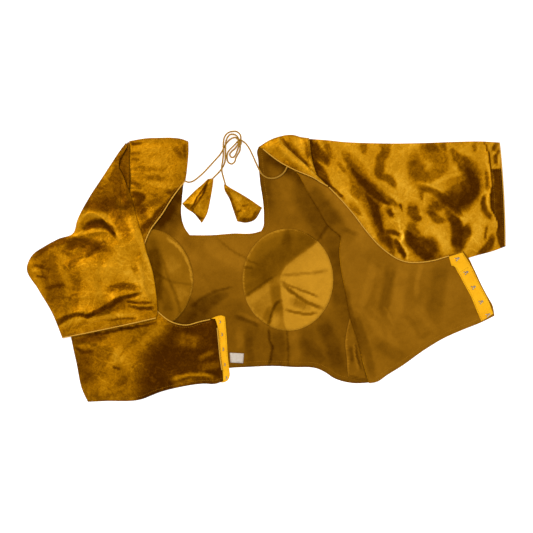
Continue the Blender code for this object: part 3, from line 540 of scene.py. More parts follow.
        (-0.65, 1.8, ((29, -62), (60, -68), (74, -66))),
        (-0.35, 2, ((25, -10), (56, -8), (90, -4))),
        (-0.45, 5, ((40, -50), (60, -58))),
        (-0.5, 1.4, ((-31, 13), (-14, 6))),
        (-0.6, 1.4, ((-34, 2), (-22, 0))),
        (-0.35, 6, ((-24, -6), (-8, -6))),
    ),
    "cup_left": (
        (-0.9, 9, ((-172, 34), (-166, -4), (-168, -50))),
        (0.75, 1.5, (
            (-148, 45), (-136, 36), (-121, 16), (-112, -10), (-110, -30), (-114, -52), (-123, -71),
        )),
        (-0.45, 2, ((-167, -7), (-145, -19))),
        (-0.4, 1.6, ((-145, -19), (-128, -22), (-111, -25))),
        (-0.5, 1.8, ((-145, -19), (-136, -42), (-128, -70))),
        (-0.5, 7, ((-160, -30), (-152, -44), (-146, -66))),
        (0.3, 7, ((-134, -32), (-122, -44))),
        (0.3, 8, ((-150, 14), (-134, -2))),
        (-0.35, 1.6, ((-158, 20), (-145, -19))),
    ),
    "back_right": (
        (-0.55, 13, ((62, 118), (84, 92), (104, 60))),
        (0.3, 10, ((90, 118), (120, 84), (150, 44))),
        (-0.4, 7, ((186, 0), (182, -32), (176, -62))),
        (0.3, 9, ((206, 0), (198, -32), (192, -70))),
        (0.35, 3, ((232, 4), (226, -20), (224, -41))),
        (-0.35, 10, ((263, 2), (254, -41), (250, -70))),
        (0.25, 5, ((160, 10), (152, -30), (140, -60))),
        (-0.15, 3, ((206, -70), (222, -84), (227, -104))),
        (-0.15, 3, ((149, -62), (172, -83), (180, -104))),
        (0.3, 8, ((155, -68), (174, -96), (194, -122))),
        (-0.35, 8, ((167, -110), (186, -124), (206, -134))),
        (-0.5, 4, ((118, -30), (126, -70), (142, -130))),
        (-0.45, 5, ((132, -70), (150, -120), (158, -160))),
        (0.35, 1.5, ((176, -56), (190, -84))),
        (-0.2, 3, ((232, -104), (246, -96))),
        (0.25, 6, ((228, -60), (246, -84))),
        (-0.35, 3, ((118, 58), (136, 50))),
    ),
    "side_allowance": (
        (0.8, 1.1, ((126, -72), (120, -95), (118.5, -114), (121, -133), (122, -162))),
        (-0.7, 1.4, ((134, -112), (136, -132), (142, -150))),
        (0.4, 1.2, ((131, -112), (133, -132), (138, -152))),
        (-0.6, 1.3, ((124, -160), (136, -164), (148, -168))),
        (-0.5, 2, ((126, -118), (128, -140))),
    ),
    "tassel_left": (
        (-0.9, 1.3, ((-86, 132), (-97.6, 115.5), (-106, 102.6), (-112.6, 89.7))),
        (-0.75, 1.3, ((-89, 126), (-97.6, 107), (-106, 96), (-110.5, 85.5))),
        (-0.7, 2.6, ((-112, 85, 1.5), (-104, 77), (-95.5, 75, 1.5))),
        (0.45, 1.8, ((-92, 126), (-102, 111), (-114, 96))),
        (-0.3, 3, ((-124, 94), (-112, 92))),
        (-0.25, 4, ((-88, 116), (-94, 96))),
    ),
    "tassel_right": (
        (-0.35, 1.2, ((-37, 93), (-27, 95))),
        (-0.5, 1.2, ((-44, 86), (-38, 88))),
        (-0.6, 3, ((-38, 72), (-22, 73), (-12, 84))),
        (0.35, 4, ((-52, 112), (-38, 102))),
        (-0.4, 2.5, ((-60, 118), (-52, 96), (-42, 76))),
    ),
}

# Regions of painted shade (tone below 0) and painted highlight (tone above 0): (tone, softness of its border,
# its ring)
PAINTED_LIGHT_PATCHES = {
    "back_left": (
        # painted shade over the lower right of the left back
        (-0.9, 26, (
            (-140, -84), (-158, -111), (-174, -132), (-181, -153), (-187, -176), (-194, -205), (-60, -180),
            (-66, -70),
        )),
        (-0.35, 4, ((-140, -165), (-126, -160), (-86, -160), (-70, -164), (-66, -176), (-140, -184))),
    ),
    "front": (
        (-0.32, 34, (
            (-130, -50), (-70, -78), (-20, -84), (50, -98), (110, -60), (130, -20), (170, -190),
            (-130, -190),
        )),
        (-0.18, 30, ((-20, 200), (80, 200), (130, 60), (90, 30), (60, 66), (10, 62), (-10, 60))),
    ),
    "cup_right": (
        # painted shade on the cup's upper left, painted highlight on its lower left, brightest on its lower
        # right
        (-0.22, 5, (
            (-60, 70), (110, 70), (80, 42), (56, 28), (32, 9), (22, -4), (8, -16), (-10, -27), (-60, -64),
        )),
        (0.2, 5, (
            (-48, -56), (-10, -29), (10, -16), (20, -10), (20, -30), (22, -42), (26, -80), (31, -110),
            (-40, -100),
        )),
        (0.7, 3, (
            (82, 46), (76, 40), (40, 13), (27, 1), (21, -12), (21, -24), (22, -42), (24, -56), (31, -92),
            (70, -100), (120, -40), (112, 20),
        )),
    ),
    "sleeve_right": (
        (-0.85, 3, (
            (337, 149), (340, 125), (335, 109), (337, 91), (348, 66), (346, 44), (352, 30), (370, 30),
            (370, 149),
        )),
    ),
    "sleeve_left": (
        (-0.42, 14, (
            (-200, 200), (-246, 170), (-300, 92), (-268, 90), (-244, 86), (-226, 98), (-218, 130),
            (-200, 170),
        )),
    ),
}

# The cloth's own unevenness and painted light: size and height of its lumps, how much painted light they add
# to its tone (lighter on their crests, darker in their hollows), and its base tone, a painted light level of
# the piece
CRUMPLES_AND_PAINTED_LIGHT = {
    "sleeve_right": (24.0, 0.8, 0.18, 0.34),
    "sleeve_left": (24.0, 0.9, 0.16, -0.02),
    "back_left": (24.0, 0.7, 0.14, -0.08),
    "strap_rolled": (14.0, 0.4, 0.1, 0.1),
    "strap_lower": (11.0, 0.6, 0.3, 0.0),
    # the sleeve's head lies in painted shadow
    "sleeve_cap": (12.0, 0.6, 0.2, -0.6),
    "front": (42.0, 1.0, 0.1, 0.0),
    "back_right": (42.0, 1.0, 0.12, 0.05),
    "cup_right": (30.0, 0.5, 0.08, 0.0),
    "cup_left": (30.0, 0.5, 0.08, -0.15),
    "side_allowance": (12.0, 0.4, 0.15, -0.15),
    "tassel_left": (9.0, 0.5, 0.12, 0.12),
    "tassel_right": (9.0, 0.4, 0.1, 0.05),
    "other": (16.0, 0.3, 0.15, 0.0),
}

# Folds that turn over: (height, width of the gentle side, width of the steep side, their line). The steep
# side is on the right of the line.
FOLDS = {
    "front": (
        (2.4, 16, 7, ((-126, -78), (-112, -60), (-96, -46), (-74, -36), (-50, -29), (-30, -26))),
        (1.6, 10, 10, ((-76, 46), (-48, 25), (-24, 13))),
        (0.8, 5, 5, ((-38, 5), (-24, 4))),
        (0.7, 3, 3, ((4, -92), (4, -147))),
        (0.7, 3, 3, ((31, -92), (33, -147))),
    ),
    "sleeve_right": (
        (1.6, 5, 3, ((328, 190), (331, 178), (335, 160), (337, 128), (334, 104), (337, 84), (345, 68))),
        (2.2, 3, 2, ((203, 60), (207, 48), (202, 38), (211, 17))),
        (1.6, 3, 2, ((178, 52), (190, 50), (200, 40), (206, 30))),
        (2.5, 9, 5, ((152, 134), (172, 115), (198, 98))),
        (2.0, 7, 4, ((224, 128), (250, 122), (272, 105), (294, 82))),
    ),
    "sleeve_left": (
        (4.5, 12, 6, ((-285, 62), (-275, 78), (-262, 83), (-248, 76), (-236, 64), (-218, 44))),
        (4.0, 7, 5, ((-270, 50), (-252, 55), (-234, 55))),
        (3.5, 10, 3.0, (
            (-312, -80), (-293, -69), (-275, -64), (-260, -68), (-245, -66), (-224, -44), (-190, -33),
        )),
        (1.6, 5, 2, ((-210, -48), (-188, -47))),
        (1.6, 5, 2, ((-197, -55), (-176, -54))),
    ),
    "back_left": (
        (3.0, 14, 8, ((-240, -105), (-222, -130), (-212, -160), (-210, -190))),
        (1.6, 6, 3, ((-145, -160), (-110, -163), (-76, -161))),
        (1.2, 5, 3, ((-290, -106), (-262, -112), (-240, -120))),
    ),
    "back_right": (
        (1.8, 16, 12, ((176, 8), (170, -50), (168, -120))),
        (1.6, 16, 14, ((222, 0), (222, -50), (232, -110))),
    ),
    "cup_right": (
        (1.8, 14, 5, ((6, -92), (22, -46), (23, -18), (24, -5), (48, 22), (78, 42), (100, 58))),
    ),
}


# Curves and outlines


def step_lengths(line):
    return np.linalg.norm(np.diff(line, axis=0), axis=1)


def run_along(line):
    """The length of a line from its start to each of its points."""
    return np.concatenate([[0.0], np.cumsum(step_lengths(line))])


def closed(ring):
    return np.vstack([ring, ring[:1]])


def unit(ways):
    """Each row's direction, with a length of 1."""
    return ways / np.linalg.norm(ways, axis=1)[:, None]


def ease(share):
    """A share from 0 to 1, made to start and end softly."""
    return share * share * (3 - 2 * share)


def smooth(knots, spacing):
    """Evenly spaced points of the smooth curve through the knots, both ends included."""
    knots = np.asarray(knots, float)
    count = len(knots)
    steps = step_lengths(knots)
    slopes = np.diff(knots, axis=0) / steps[:, None]
    tangents = np.empty_like(knots)
    tangents[0], tangents[-1] = slopes[0], slopes[-1]
    for i in range(1, count - 1):
        before, after = steps[i - 1], steps[i]
        tangents[i] = (slopes[i - 1] * after + slopes[i] * before) / (before + after)
    dense = [knots[:1]]
    for i in range(count - 1):
        t = np.linspace(0, 1, 17)[1:, None]
        start, end = knots[i], knots[i + 1]
        out, back = tangents[i] * steps[i], tangents[i + 1] * steps[i]
        dense.append(
            (2 * t**3 - 3 * t**2 + 1) * start
            + (t**3 - 2 * t**2 + t) * out
            + (3 * t**2 - 2 * t**3) * end
            + (t**3 - t**2) * back
        )
    dense = np.vstack(dense)
    run = run_along(dense)
    places = np.linspace(0, run[-1], max(2, round(run[-1] / spacing) + 1))
    return np.column_stack([np.interp(places, run, dense[:, axis]) for axis in range(knots.shape[1])])


def edge_of(outline, name, spacing):
    """Points along one named edge, up to the start of the next one."""
    names = list(outline)
    following = outline[names[(names.index(name) + 1) % len(names)]][0]
    return smooth((*outline[name], following), spacing)


def ring_of(outline, spacing):
    return np.vstack([edge_of(outline, name, spacing)[:-1] for name in outline])


def ellipse(centre, radii, spacing):
    count = round(2 * math.pi * max(radii) / spacing)
    turn = -np.arange(count) * 2 * math.pi / count
    return np.column_stack([centre[0] + radii[0] * np.cos(turn), centre[1] + radii[1] * np.sin(turn)])


def offset(route, distance):
    """The route moved to its right by a distance."""
    ahead = unit(np.gradient(route, axis=0))
    return route + distance * np.column_stack([ahead[:, 1], -ahead[:, 0]])


def shrunk(ring, distance):
    """A clockwise ring with every side moved inwards by a distance."""
    return offset(np.vstack([ring[-1:], ring, ring[:1]]), distance)[1:-1]


def beside(line, spots):
    """For each spot: its distance from a line, the share of the line passed, and its side, 1 on the left."""
    nearest = np.full(len(spots), np.inf)
    passed, side = np.zeros(len(spots)), np.ones(len(spots))
    lengths = step_lengths(line)
    starts = run_along(line)
    for start, span, length, before in zip(line, np.diff(line, axis=0), lengths, starts):
        along = np.clip((spots - start) @ span / length**2, 0, 1)
        away = spots - start - along[:, None] * span
        gap = np.hypot(away[:, 0], away[:, 1])
        closer = gap < nearest
        nearest[closer] = gap[closer]
        passed[closer] = before + along[closer] * length
        side[closer] = np.sign(span[0] * away[:, 1] - span[1] * away[:, 0])[closer]
    return nearest, passed / starts[-1], side


def rim_gap(ring, spots):
    """Distance of each spot from the ring."""
    return beside(closed(ring), spots)[0]


def inside(ring, spots):
    """Whether each spot is inside the ring, by counting the sides that a line to its right crosses."""
    found = np.zeros(len(spots), bool)
    for (ax, ay), (bx, by) in zip(ring, np.roll(ring, -1, axis=0)):
        if ay == by:
            continue
        crosses = (ay > spots[:, 1]) != (by > spots[:, 1])
        found ^= crosses & (spots[:, 0] < ax + (spots[:, 1] - ay) * (bx - ax) / (by - ay))
    return found


def fill(ring, side):
    """Points and triangles that fill a ring, on a grid of equal triangles. The ring's points come first."""
    low, high = ring.min(axis=0), ring.max(axis=0)
    rows = []
    for number, y in enumerate(np.arange(low[1] + side / 2, high[1], side * 0.87)):
        xs = np.arange(low[0] + (0.25 + 0.5 * (number % 2)) * side, high[0], side)
        rows.append(np.column_stack([xs, np.full(len(xs), y)]))
    grid = np.vstack(rows)
    grid = grid[inside(ring, grid)]
    grid = grid[rim_gap(ring, grid) > 0.55 * side]
    spots = [Vector(spot) for spot in np.vstack([ring, grid])]
    border = [(i, (i + 1) % len(ring)) for i in range(len(ring))]
    spots, _, faces, *_ = delaunay_2d_cdt(spots, border, [], 1, 1e-6)
    return np.array([tuple(spot) for spot in spots]), np.array([tuple(face) for face in faces])


# The relief: the height of the highest thing at each point of the table

relief = np.zeros([round((high - low) / CELL) + 1 for low, high in reversed(REACH)])


def raise_relief(spots, heights):
    rows, columns = ((spots[..., axis] - REACH[axis][0]) / CELL for axis in (1, 0))
    rows, columns = np.floor(rows).astype(int), np.floor(columns).astype(int)
    for down in (0, 1):
        for right in (0, 1):
            np.maximum.at(relief, (rows + down, columns + right), heights)


def read(grid, spots):
    """The grid's height at each spot, between its points."""
    rows, columns = ((spots[..., axis] - REACH[axis][0]) / CELL for axis in (1, 0))
    row, column = np.floor(rows).astype(int), np.floor(columns).astype(int)
    down, right = rows - row, columns - column
    upper = grid[row, column] * (1 - right) + grid[row, column + 1] * right
    lower = grid[row + 1, column] * (1 - right) + grid[row + 1, column + 1] * right
    return upper * (1 - down) + lower * down


def shifted(grid, down, right):
    return np.roll(grid, (down, right), axis=(0, 1))


def blanket(relief):
    """The relief under a soft cloth that comes down from each edge no steeper than SLOPE."""
    spread = relief.copy()
    straight = (SLOPE * CELL, ((0, 1), (1, 0)))
    slanting = (SLOPE * CELL * 1.414, ((1, 1), (1, -1)))
    while True:
        grown = spread.copy()
        for drop, moves in (straight, slanting):
            for down, right in moves:
                grown = np.maximum(grown, shifted(spread, down, right) - drop)
                grown = np.maximum(grown, shifted(spread, -down, -right) - drop)
        if np.abs(grown - spread).max() < SAME:
            break
        spread = grown
    for _ in range(SOFTENINGS):
        for down, right in ((0, 1), (1, 0)):
            spread = (shifted(spread, down, right) + 2 * spread + shifted(spread, -down, -right)) / 4
    return spread


def samples(faces, values, side):
    """Values at even points of each triangle, a bit more than a millimetre apart."""
    parts = math.ceil(side / 1.3)
    weights = [(i, j, parts - i - j) for i in range(parts + 1) for j in range(parts + 1 - i)]
    return np.einsum("kc,mc...->mk...", np.array(weights, float) / parts, values[faces])


class Bed:
    """What a cloth lies on: the relief at one moment, and the blanket over it."""

    def __init__(self):
        self.relief = relief.copy()
        self.soft = blanket(self.relief)

    def drape(self, points, faces, side, shape):
        """Heights of the underside of a sheet with its own shape, clear of the bed everywhere."""
        soft = read(self.soft, points)
        heights = np.maximum(soft + np.minimum(soft, GAP) + shape, 0)
        spots = samples(faces, points, side)
        below = np.max([read(self.relief, spots + shift) for shift in (0, NUDGE, -NUDGE)], axis=0)
        needed = np.where(below > 0, below + GAP, 0.0)
        for _ in range(LIFTINGS):
            lift = np.maximum(needed - samples(faces, heights, side), 0).max(axis=1)
            if lift.max() < LIFTED:
                break
            rise = np.zeros(len(heights))
            np.maximum.at(rise, faces, lift[:, None])
            heights += rise
        return heights


class Sheet:
    """The upper side of a laid cloth. Making one raises the relief to it."""

    def __init__(self, points, faces, tops, side):
        self.points, self.faces, self.tops, self.side = points, faces, tops, side
        flat = [(x, y, 0.0) for x, y in points]
        self.tree = BVHTree.FromPolygons(flat, faces.tolist())
        raise_relief(samples(faces, points, side), samples(faces, tops, side))

    def height(self, spots):
        found = []
        for x, y in spots:
            place, _, number, _ = self.tree.find_nearest((x, y, 0.0))
            corners = self.faces[number]
            flat = [Vector((*self.points[i], 0.0)) for i in corners]
            high = [Vector((*self.points[i], self.tops[i])) for i in corners]
            found.append(barycentric_transform(place, *flat, *high).z)
        return np.array(found)


# Creases


def stroke_field(points, rows):
    """Height, and tone of painted shade and highlight, that a piece's strokes add at each point."""
    dark, bright, low, high = (np.zeros(len(points)) for _ in range(4))
    warped = points + wander(points, 1.6, 15.0, 3.0, 8.0)
    warped += wander(points, 0.9, 5.5, 4.0, 9.0)
    uneven = 0.95 + 0.2 * grain(points, 11.0, 12.0)
    for tone, half_width, knots in rows:
        line = smooth([(*knot, half_width)[:3] for knot in knots], SEAM_SPACING)
        reach = 1.5 * line[:, 2].max() + 4
        high_end, low_end = line[:, :2].max(axis=0), line[:, :2].min(axis=0)
        away = np.abs(points - (high_end + low_end) / 2)
        near = np.all(away < np.ptp(line[:, :2], axis=0) / 2 + reach, axis=1)
        if not near.any():
            continue
        gap, passed, _ = beside(line[:, :2], warped[near])
        run = run_along(line[:, :2])
        gap = gap / np.interp(passed, run / run[-1], line[:, 2])
        share = np.clip(1.5 - 0.85 * gap, 0, 1)
        share = ease(share) * uneven[near]
        share *= np.clip(0.5 + 5 * np.minimum(passed, 1 - passed), 0, 1)
        dip = np.exp(-(gap**2)) * half_width * DIP * abs(tone)
        # Dark strokes add painted shade and dip; bright strokes add a painted highlight and rise.
        if tone < 0:
            dark[near] += -tone * share * (1 - 0.75 * dark[near])
            low[near] = np.maximum(low[near], dip)
        else:
            bright[near] = np.maximum(bright[near], tone * share)
            high[near] = np.maximum(high[near], dip)
    dark = np.minimum(dark, 1)
    return high - low, bright * (1 - dark) - dark


def fold_field(points, rows):
    """Height of a piece's folds: each rises slowly on the left of its line and drops fast on the right."""
    total = np.zeros(len(points))
    warped = points + wander(points, 1.2, 22.0, 5.0, 6.0)
    for height, gentle, steep, knots in rows:
        gap, passed, side = beside(smooth(knots, SEAM_SPACING), warped)
        away = gap / np.where(side > 0, gentle, steep)
        taper = np.sin(np.pi * np.clip(passed, 0.02, 0.98)) ** 0.6
        total += height * taper * np.exp(-1.3 * away**1.3)
    return total


def grain(points, size, seed):
    """Smooth noise from about -1 to 1, with lumps of about the given size."""
    return np.array([noise.noise((x / size, y / size, seed)) for x, y in points])


def wander(points, reach, size, *seeds):
    """Small uneven shifts of the points, so that what is drawn there doesn't look ruled."""
    return reach * np.column_stack([grain(points, size, seed) for seed in seeds])


def crumple(points, size, seed):
    """Noise with narrow crests between wide hollows, as in pressed cloth."""
    warped = points + wander(points, 0.35 * size, size, seed, seed + 5)
    return 1 - 2.2 * np.abs(grain(warped, size * 1.6, seed + 9)) ** 0.8


# Shapes


def add_piece(name, data, finish, *nodes):
    piece = bpy.data.objects.new(name, data)
    data.materials.append(materials[finish])
    bpy.context.scene.collection.objects.link(piece)
    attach(piece, "root")
    if nodes:
        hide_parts(*nodes)
    return piece


def make_mesh(name, places, faces, tone=None):
    data = bpy.data.meshes.new(name)
    data.from_pydata((np.asarray(places) * MM).tolist(), [], [tuple(face) for face in faces])
    data.validate()
    data.shade_smooth()
    # The tone attribute holds painted shade and highlight for the materials' colour ramps.
    if tone is not None:
        data.attributes.new("tone", "FLOAT", "POINT").data.foreach_set("value", tone.astype(np.float32))
    return data


def shell(name, points, faces, under, thickness, tone, finish, node):
    """A closed thin sheet from its triangles and the heights of its two sides."""
    count = len(points)
    ways = np.vstack([faces[:, [0, 1]], faces[:, [1, 2]], faces[:, [2, 0]]])
    known = {tuple(way) for way in ways}
    rim = [(i + count, j + count, j, i) for i, j in known if (j, i) not in known]
    rim.sort()
    places = np.vstack([np.column_stack([points, under + thickness]), np.column_stack([points, under])])
    corners = [*faces.tolist(), *(faces[:, ::-1] + count).tolist(), *rim]
    data = make_mesh(name, places, corners, np.concatenate([tone, BACK_TONE * tone]))
    return add_piece(name, data, finish, node)


def tube(name, route, diameter, finish, *nodes, sides=3):
    """A round cord, piping or wire along a route of (x, y, z) points."""
    curve = bpy.data.curves.new(name, "CURVE")
    curve.dimensions = "3D"
    curve.bevel_depth = diameter / 2 * MM
    curve.bevel_resolution = sides
    curve.use_fill_caps = True
    spline = curve.splines.new("POLY")
    spline.points.add(len(route) - 1)
    for point, place in zip(spline.points, route):
        point.co = (*(np.asarray(place) * MM), 1.0)
    spline.use_smooth = True
    raise_relief(np.asarray(route)[:, :2], np.asarray(route)[:, 2] + diameter / 2)
    return add_piece(name, curve, finish, *nodes)


# Finishes


class Finish:
    """A material under construction: its nodes are made and joined by short calls."""

    def __init__(self, name):
        self.material = bpy.data.materials.new(name)
        self.material.use_nodes = True
        self.tree = self.material.node_tree
        self.shader = self.tree.nodes["Principled BSDF"]
        self.place = self.node("ShaderNodeTexCoord").outputs["Object"]

    def node(self, kind, settings=None, **inputs):
        made = self.tree.nodes.new(kind)
        for name, value in (settings or {}).items():
            setattr(made, name, value)
        for name, value in inputs.items():
            self.put(made.inputs[name.replace("_", " ")], value)
        return made

    def put(self, socket, value):
        if isinstance(value, bpy.types.NodeSocket):
            self.tree.links.new(value, socket)
        else:
            socket.default_value = value

    def noise(self, scale, detail=3.0, distortion=0.0, roughness=0.55):
        """Noise from about -0.5 to 0.5; scale is in lumps per metre."""
        made = self.node(
            "ShaderNodeTexNoise",
            Vector=self.place,
            Scale=scale,
            Detail=detail,
            Distortion=distortion,
            Roughness=roughness,
        )
        return self.math("SUBTRACT", made.outputs["Fac"], 0.5)

    def veins(self, scale, width):
        """Thin lines like those of pressed creases, from 0 to 1; width is in millimetres."""
        away = self.math("ABSOLUTE", self.noise(scale, 2, 1.2, 0.4))
        line = self.math("MULTIPLY_ADD", away, -900.0 / (width * scale), 1.0)
        broken = self.math("MULTIPLY_ADD", self.noise(scale * 0.7, 2), 5.0, 0.3)
        return self.math("MINIMUM", self.math("MAXIMUM", line, 0.0), self.math("MAXIMUM", broken, 0.0))

    def threads(self, pitch, angle):
        """Bands one pitch (in millimetres) apart, from 0 to 1."""
        turned = self.node("ShaderNodeMapping", Vector=self.place, Rotation=(0.0, 0.0, angle))
        turned = turned.outputs["Vector"]
        wave = self.node("ShaderNodeTexWave", Vector=turned, Scale=314.0 / pitch, Distortion=0.3)
        return wave.outputs["Fac"]

    def math(self, operation, first, second=0.0, third=0.0):
        made = self.node("ShaderNodeMath", {"operation": operation})
        for socket, value in zip(made.inputs, (first, second, third)):
            self.put(socket, value)
        return made.outputs["Value"]

    def sum(self, *terms):
        """Adds up (value, factor) pairs."""
        total = 0.0
        for value, factor in terms:
            total = self.math("MULTIPLY_ADD", value, factor, total)
        return total

    def ramp(self, value, *stops):
        made = self.node("ShaderNodeValToRGB", Fac=value)
        band = made.color_ramp.elements
        while len(band) < len(stops):
            band.new(0.5)
        for element, (position, colour) in zip(band, stops):
            element.position = position
            element.color = (*colour, 1.0)
        return made.outputs["Color"]

    def bump(self, *layers):
        """Bumps on top of each other, from (value, height in millimetres) pairs."""
        normal = None
        for value, height in layers:
            made = self.node("ShaderNodeBump", Height=value, Distance=height * MM)
            if normal is not None:
                self.put(made.inputs["Normal"], normal)
            normal = made.outputs["Normal"]
        self.put(self.shader.inputs["Normal"], normal)

    def set(self, **inputs):
        for name, value in inputs.items():
            self.put(self.shader.inputs[name.replace("_", " ")], value)
        return self.material

    def tone(self, *terms):
        """The piece's tone attribute of painted shade and highlight and other (value, factor) terms, moved to
        0 to 1 for a ramp.
        """
        own = self.node("ShaderNodeAttribute", {"attribute_name": "tone"}).outputs["Fac"]
        return self.math("MULTIPLY_ADD", self.sum((own, 1.0), *terms), 0.5, 0.5)


TINT = (1.0, 0.7, 0.25, 1.0)  # of what the satin mirrors at a low angle


def satin():
    made = Finish("satin")
    # Veins add painted highlight lines and painted shade lines of pressed creases; the noise adds uneven
    # tone, partly the satin's own and partly a mottled painted sheen.
    tone = made.tone(
        (made.noise(42, 3, 0.8), 0.5),
        (made.noise(130, 4, 1.6), 0.8),
        (made.noise(420, 4, 1.0), 0.6),
        (made.noise(1500, 2), 0.3),
        (made.veins(24, 1.1), 0.28),
        (made.veins(41, 0.7), -0.2),
    )
    # The ramp runs from painted shade at 0 to painted highlight at 1.
    colour = made.ramp(
        tone,
        (0.0, (0.055, 0.014, 0.0)),
        (0.2, (0.11, 0.034, 0.0)),
        (0.38, (0.21, 0.076, 0.0002)),
        (0.52, (0.36, 0.14, 0.0006)),
        (0.74, (0.54, 0.238, 0.005)),
        (1.0, (0.74, 0.38, 0.022)),
    )
    fibres = made.node("ShaderNodeMapping", Vector=made.place, Scale=(3500.0, 260.0, 900.0))
    slub = made.node("ShaderNodeTexNoise", Vector=fibres.outputs["Vector"], Scale=1.0, Detail=2.0)
    made.bump(
        (made.noise(85, 4, 1.6), 0.7),
        (made.noise(330, 3, 0.8), 0.07),
        (slub.outputs["Fac"], 0.012),
        (made.threads(0.4, 0.5), 0.008),
    )
    rough = made.math("MULTIPLY_ADD", made.noise(140, 3), 0.15, 0.46)
    made.set(Metallic=0.45, Specular_IOR_Level=0.02, Specular_Tint=TINT)
    return made.set(Base_Color=colour, Roughness=rough)


def lining(name, dark, middle, light, roughness):
    made = Finish(name)
    tone = made.tone(
        (made.noise(24, 4, 0.8), 0.7),
        (made.noise(120, 4, 0.8), 0.35),
        (made.noise(500, 3), 0.3),
        (made.noise(2200, 2), 0.3),
    )
    # The ramp runs from painted shade to painted highlight, as the tone attribute says.
    colour = made.ramp(tone, (0.0, dark), (0.5, middle), (1.0, light))
    made.bump(
        (made.noise(60, 3, 1.0), 0.6),
        (made.threads(0.5, 0.0), 0.04),
        (made.threads(0.5, math.pi / 2), 0.04),
    )
    return made.set(Base_Color=colour, Roughness=roughness, Specular_IOR_Level=0.0)


def placket():
    made = Finish("placket")
    tone = made.tone((made.noise(90, 3), 0.5), (made.threads(1.1, 0.9), 0.18), (made.noise(1500, 2), 0.15))
    colour = made.ramp(tone, (0.1, (0.6, 0.2, 0.0)), (0.55, (0.9, 0.42, 0.003)), (1.0, (1.0, 0.62, 0.02)))
    made.bump((made.noise(160, 3, 0.8), 0.5), (made.threads(0.8, 0.9), 0.1))
    return made.set(Base_Color=colour, Roughness=0.6, Specular_IOR_Level=0.1)


def corded(name, dark, light, twist):
    made = Finish(name)
    tone = made.tone((made.noise(300, 3), 0.7), (made.threads(twist, 0.9), 0.35))
    colour = made.ramp(tone, (0.15, dark), (0.7, light))
    made.bump((made.threads(twist, 0.9), 0.12), (made.noise(1200, 2), 0.05))
    return made.set(Base_Color=colour, Roughness=0.5, Metallic=0.2, Specular_IOR_Level=0.15)


def steel():
    made = Finish("steel")
    tone = made.tone((made.noise(900, 3), 0.8))
    colour = made.ramp(tone, (0.2, (0.1, 0.09, 0.08)), (0.7, (0.5, 0.48, 0.45)))
    made.bump((made.noise(2500, 2), 0.02))
    return made.set(Base_Color=colour, Roughness=0.28, Metallic=1.0)


def woven_label():
    made = Finish("label")
    colour = made.ramp(
        made.tone((made.noise(260, 3), 0.8), (made.noise(2200, 2), 0.5)),
        (0.2, (0.3, 0.22, 0.15)),
        (0.5, (0.56, 0.47, 0.38)),
        (0.8, (0.74, 0.68, 0.6)),
    )
    made.bump(
        (made.threads(0.5, 0.0), 0.08),
        (made.threads(0.5, math.pi / 2), 0.05),
        (made.noise(300, 3), 0.25),
    )
    return made.set(Base_Color=colour, Roughness=0.7)


def floor_finish():
    made = Finish("floor")
    tone = made.tone((made.noise(2, 2), 0.1))
    colour = made.ramp(tone, (0.3, (0.86, 0.86, 0.86)), (0.7, (0.9, 0.9, 0.9)))
    made.bump((made.noise(900, 2), 0.02))
    return made.set(Base_Color=colour, Roughness=0.9, Emission_Color=WHITE, Emission_Strength=0.6)


LINING_COLOURS = ((0.05, 0.014, 0.0), (0.222, 0.088, 0.003), (0.42, 0.178, 0.009))  # dark for painted shade, middle, light for painted highlight


def make_materials():
    return {
        "satin": satin(),
        "lining": lining("lining", *LINING_COLOURS, 0.75),
        "satin back": lining("satin_back", *LINING_COLOURS, 0.7),
        # the cup's light end is its painted highlight on the lit side of its bowl
        "cup": lining("cup_lining", (0.08, 0.027, 0.0), (0.26, 0.106, 0.003), (0.58, 0.27, 0.016), 0.65),
        "placket": placket(),
        "piping": corded("piping", (0.34, 0.14, 0.006), (0.66, 0.35, 0.035), 1.4),
        "cord": corded("cord", (0.2, 0.085, 0.004), (0.4, 0.2, 0.016), 1.8),
        "thread": corded("thread", (0.3, 0.12, 0.002), (0.5, 0.23, 0.008), 0.6),
        "dark thread": corded("dark_thread", (0.06, 0.022, 0.001), (0.16, 0.065, 0.003), 0.6),
        "steel": steel(),
        "label": woven_label(),
    }


# Sewing


def tone_and_height(name, points):
    """Height, and tone of painted shade and highlight, from the crease tables, the patches and the cloth's
    own crumples, for each point of a piece.
    """
    size, lump, painted_crest_light, base = CRUMPLES_AND_PAINTED_LIGHT.get(name, CRUMPLES_AND_PAINTED_LIGHT["other"])
    height, strokes = stroke_field(points, STROKES.get(name, ()))
    height += fold_field(points, FOLDS.get(name, ()))
    crests = crumple(points, size, len(name))
    height += lump * (0.5 * crests + 0.5 * grain(points, size * 1.7, 2.0))
    # Painted light: lighter on the crumples' crests, darker in their hollows, round the piece's painted base
    # level
    tone = base + painted_crest_light * crests
    # Then the painted shade and highlight of the patches.
    for value, softness, ring in PAINTED_LIGHT_PATCHES.get(name, ()):
        ring = smooth((*ring, ring[0]), 4.0)
        signed = np.where(inside(ring[:-1], points), 1, -1) * beside(ring, points)[0]
        share = np.clip(0.5 + signed / softness, 0, 1)
        share = ease(share)
        tone += (value - 0.75 * tone) * share
    tone *= np.clip(1 - 0.8 * np.abs(strokes), 0, 1)
    return height, np.clip(tone + strokes, -1, 1)


def puckers(points, line, reach, height, pitch, seed):
    """Short ripples that cross a seam, of uneven depth."""
    gap, passed, _ = beside(line, points)
    length = step_lengths(line).sum()
    waves = passed * length / pitch
    uneven = np.array([noise.noise((wave * 0.37, seed, 0.0)) for wave in waves])
    return height * (0.6 + uneven) * np.sin(2 * np.pi * (waves + uneven)) * np.exp(-((gap / reach) ** 2))


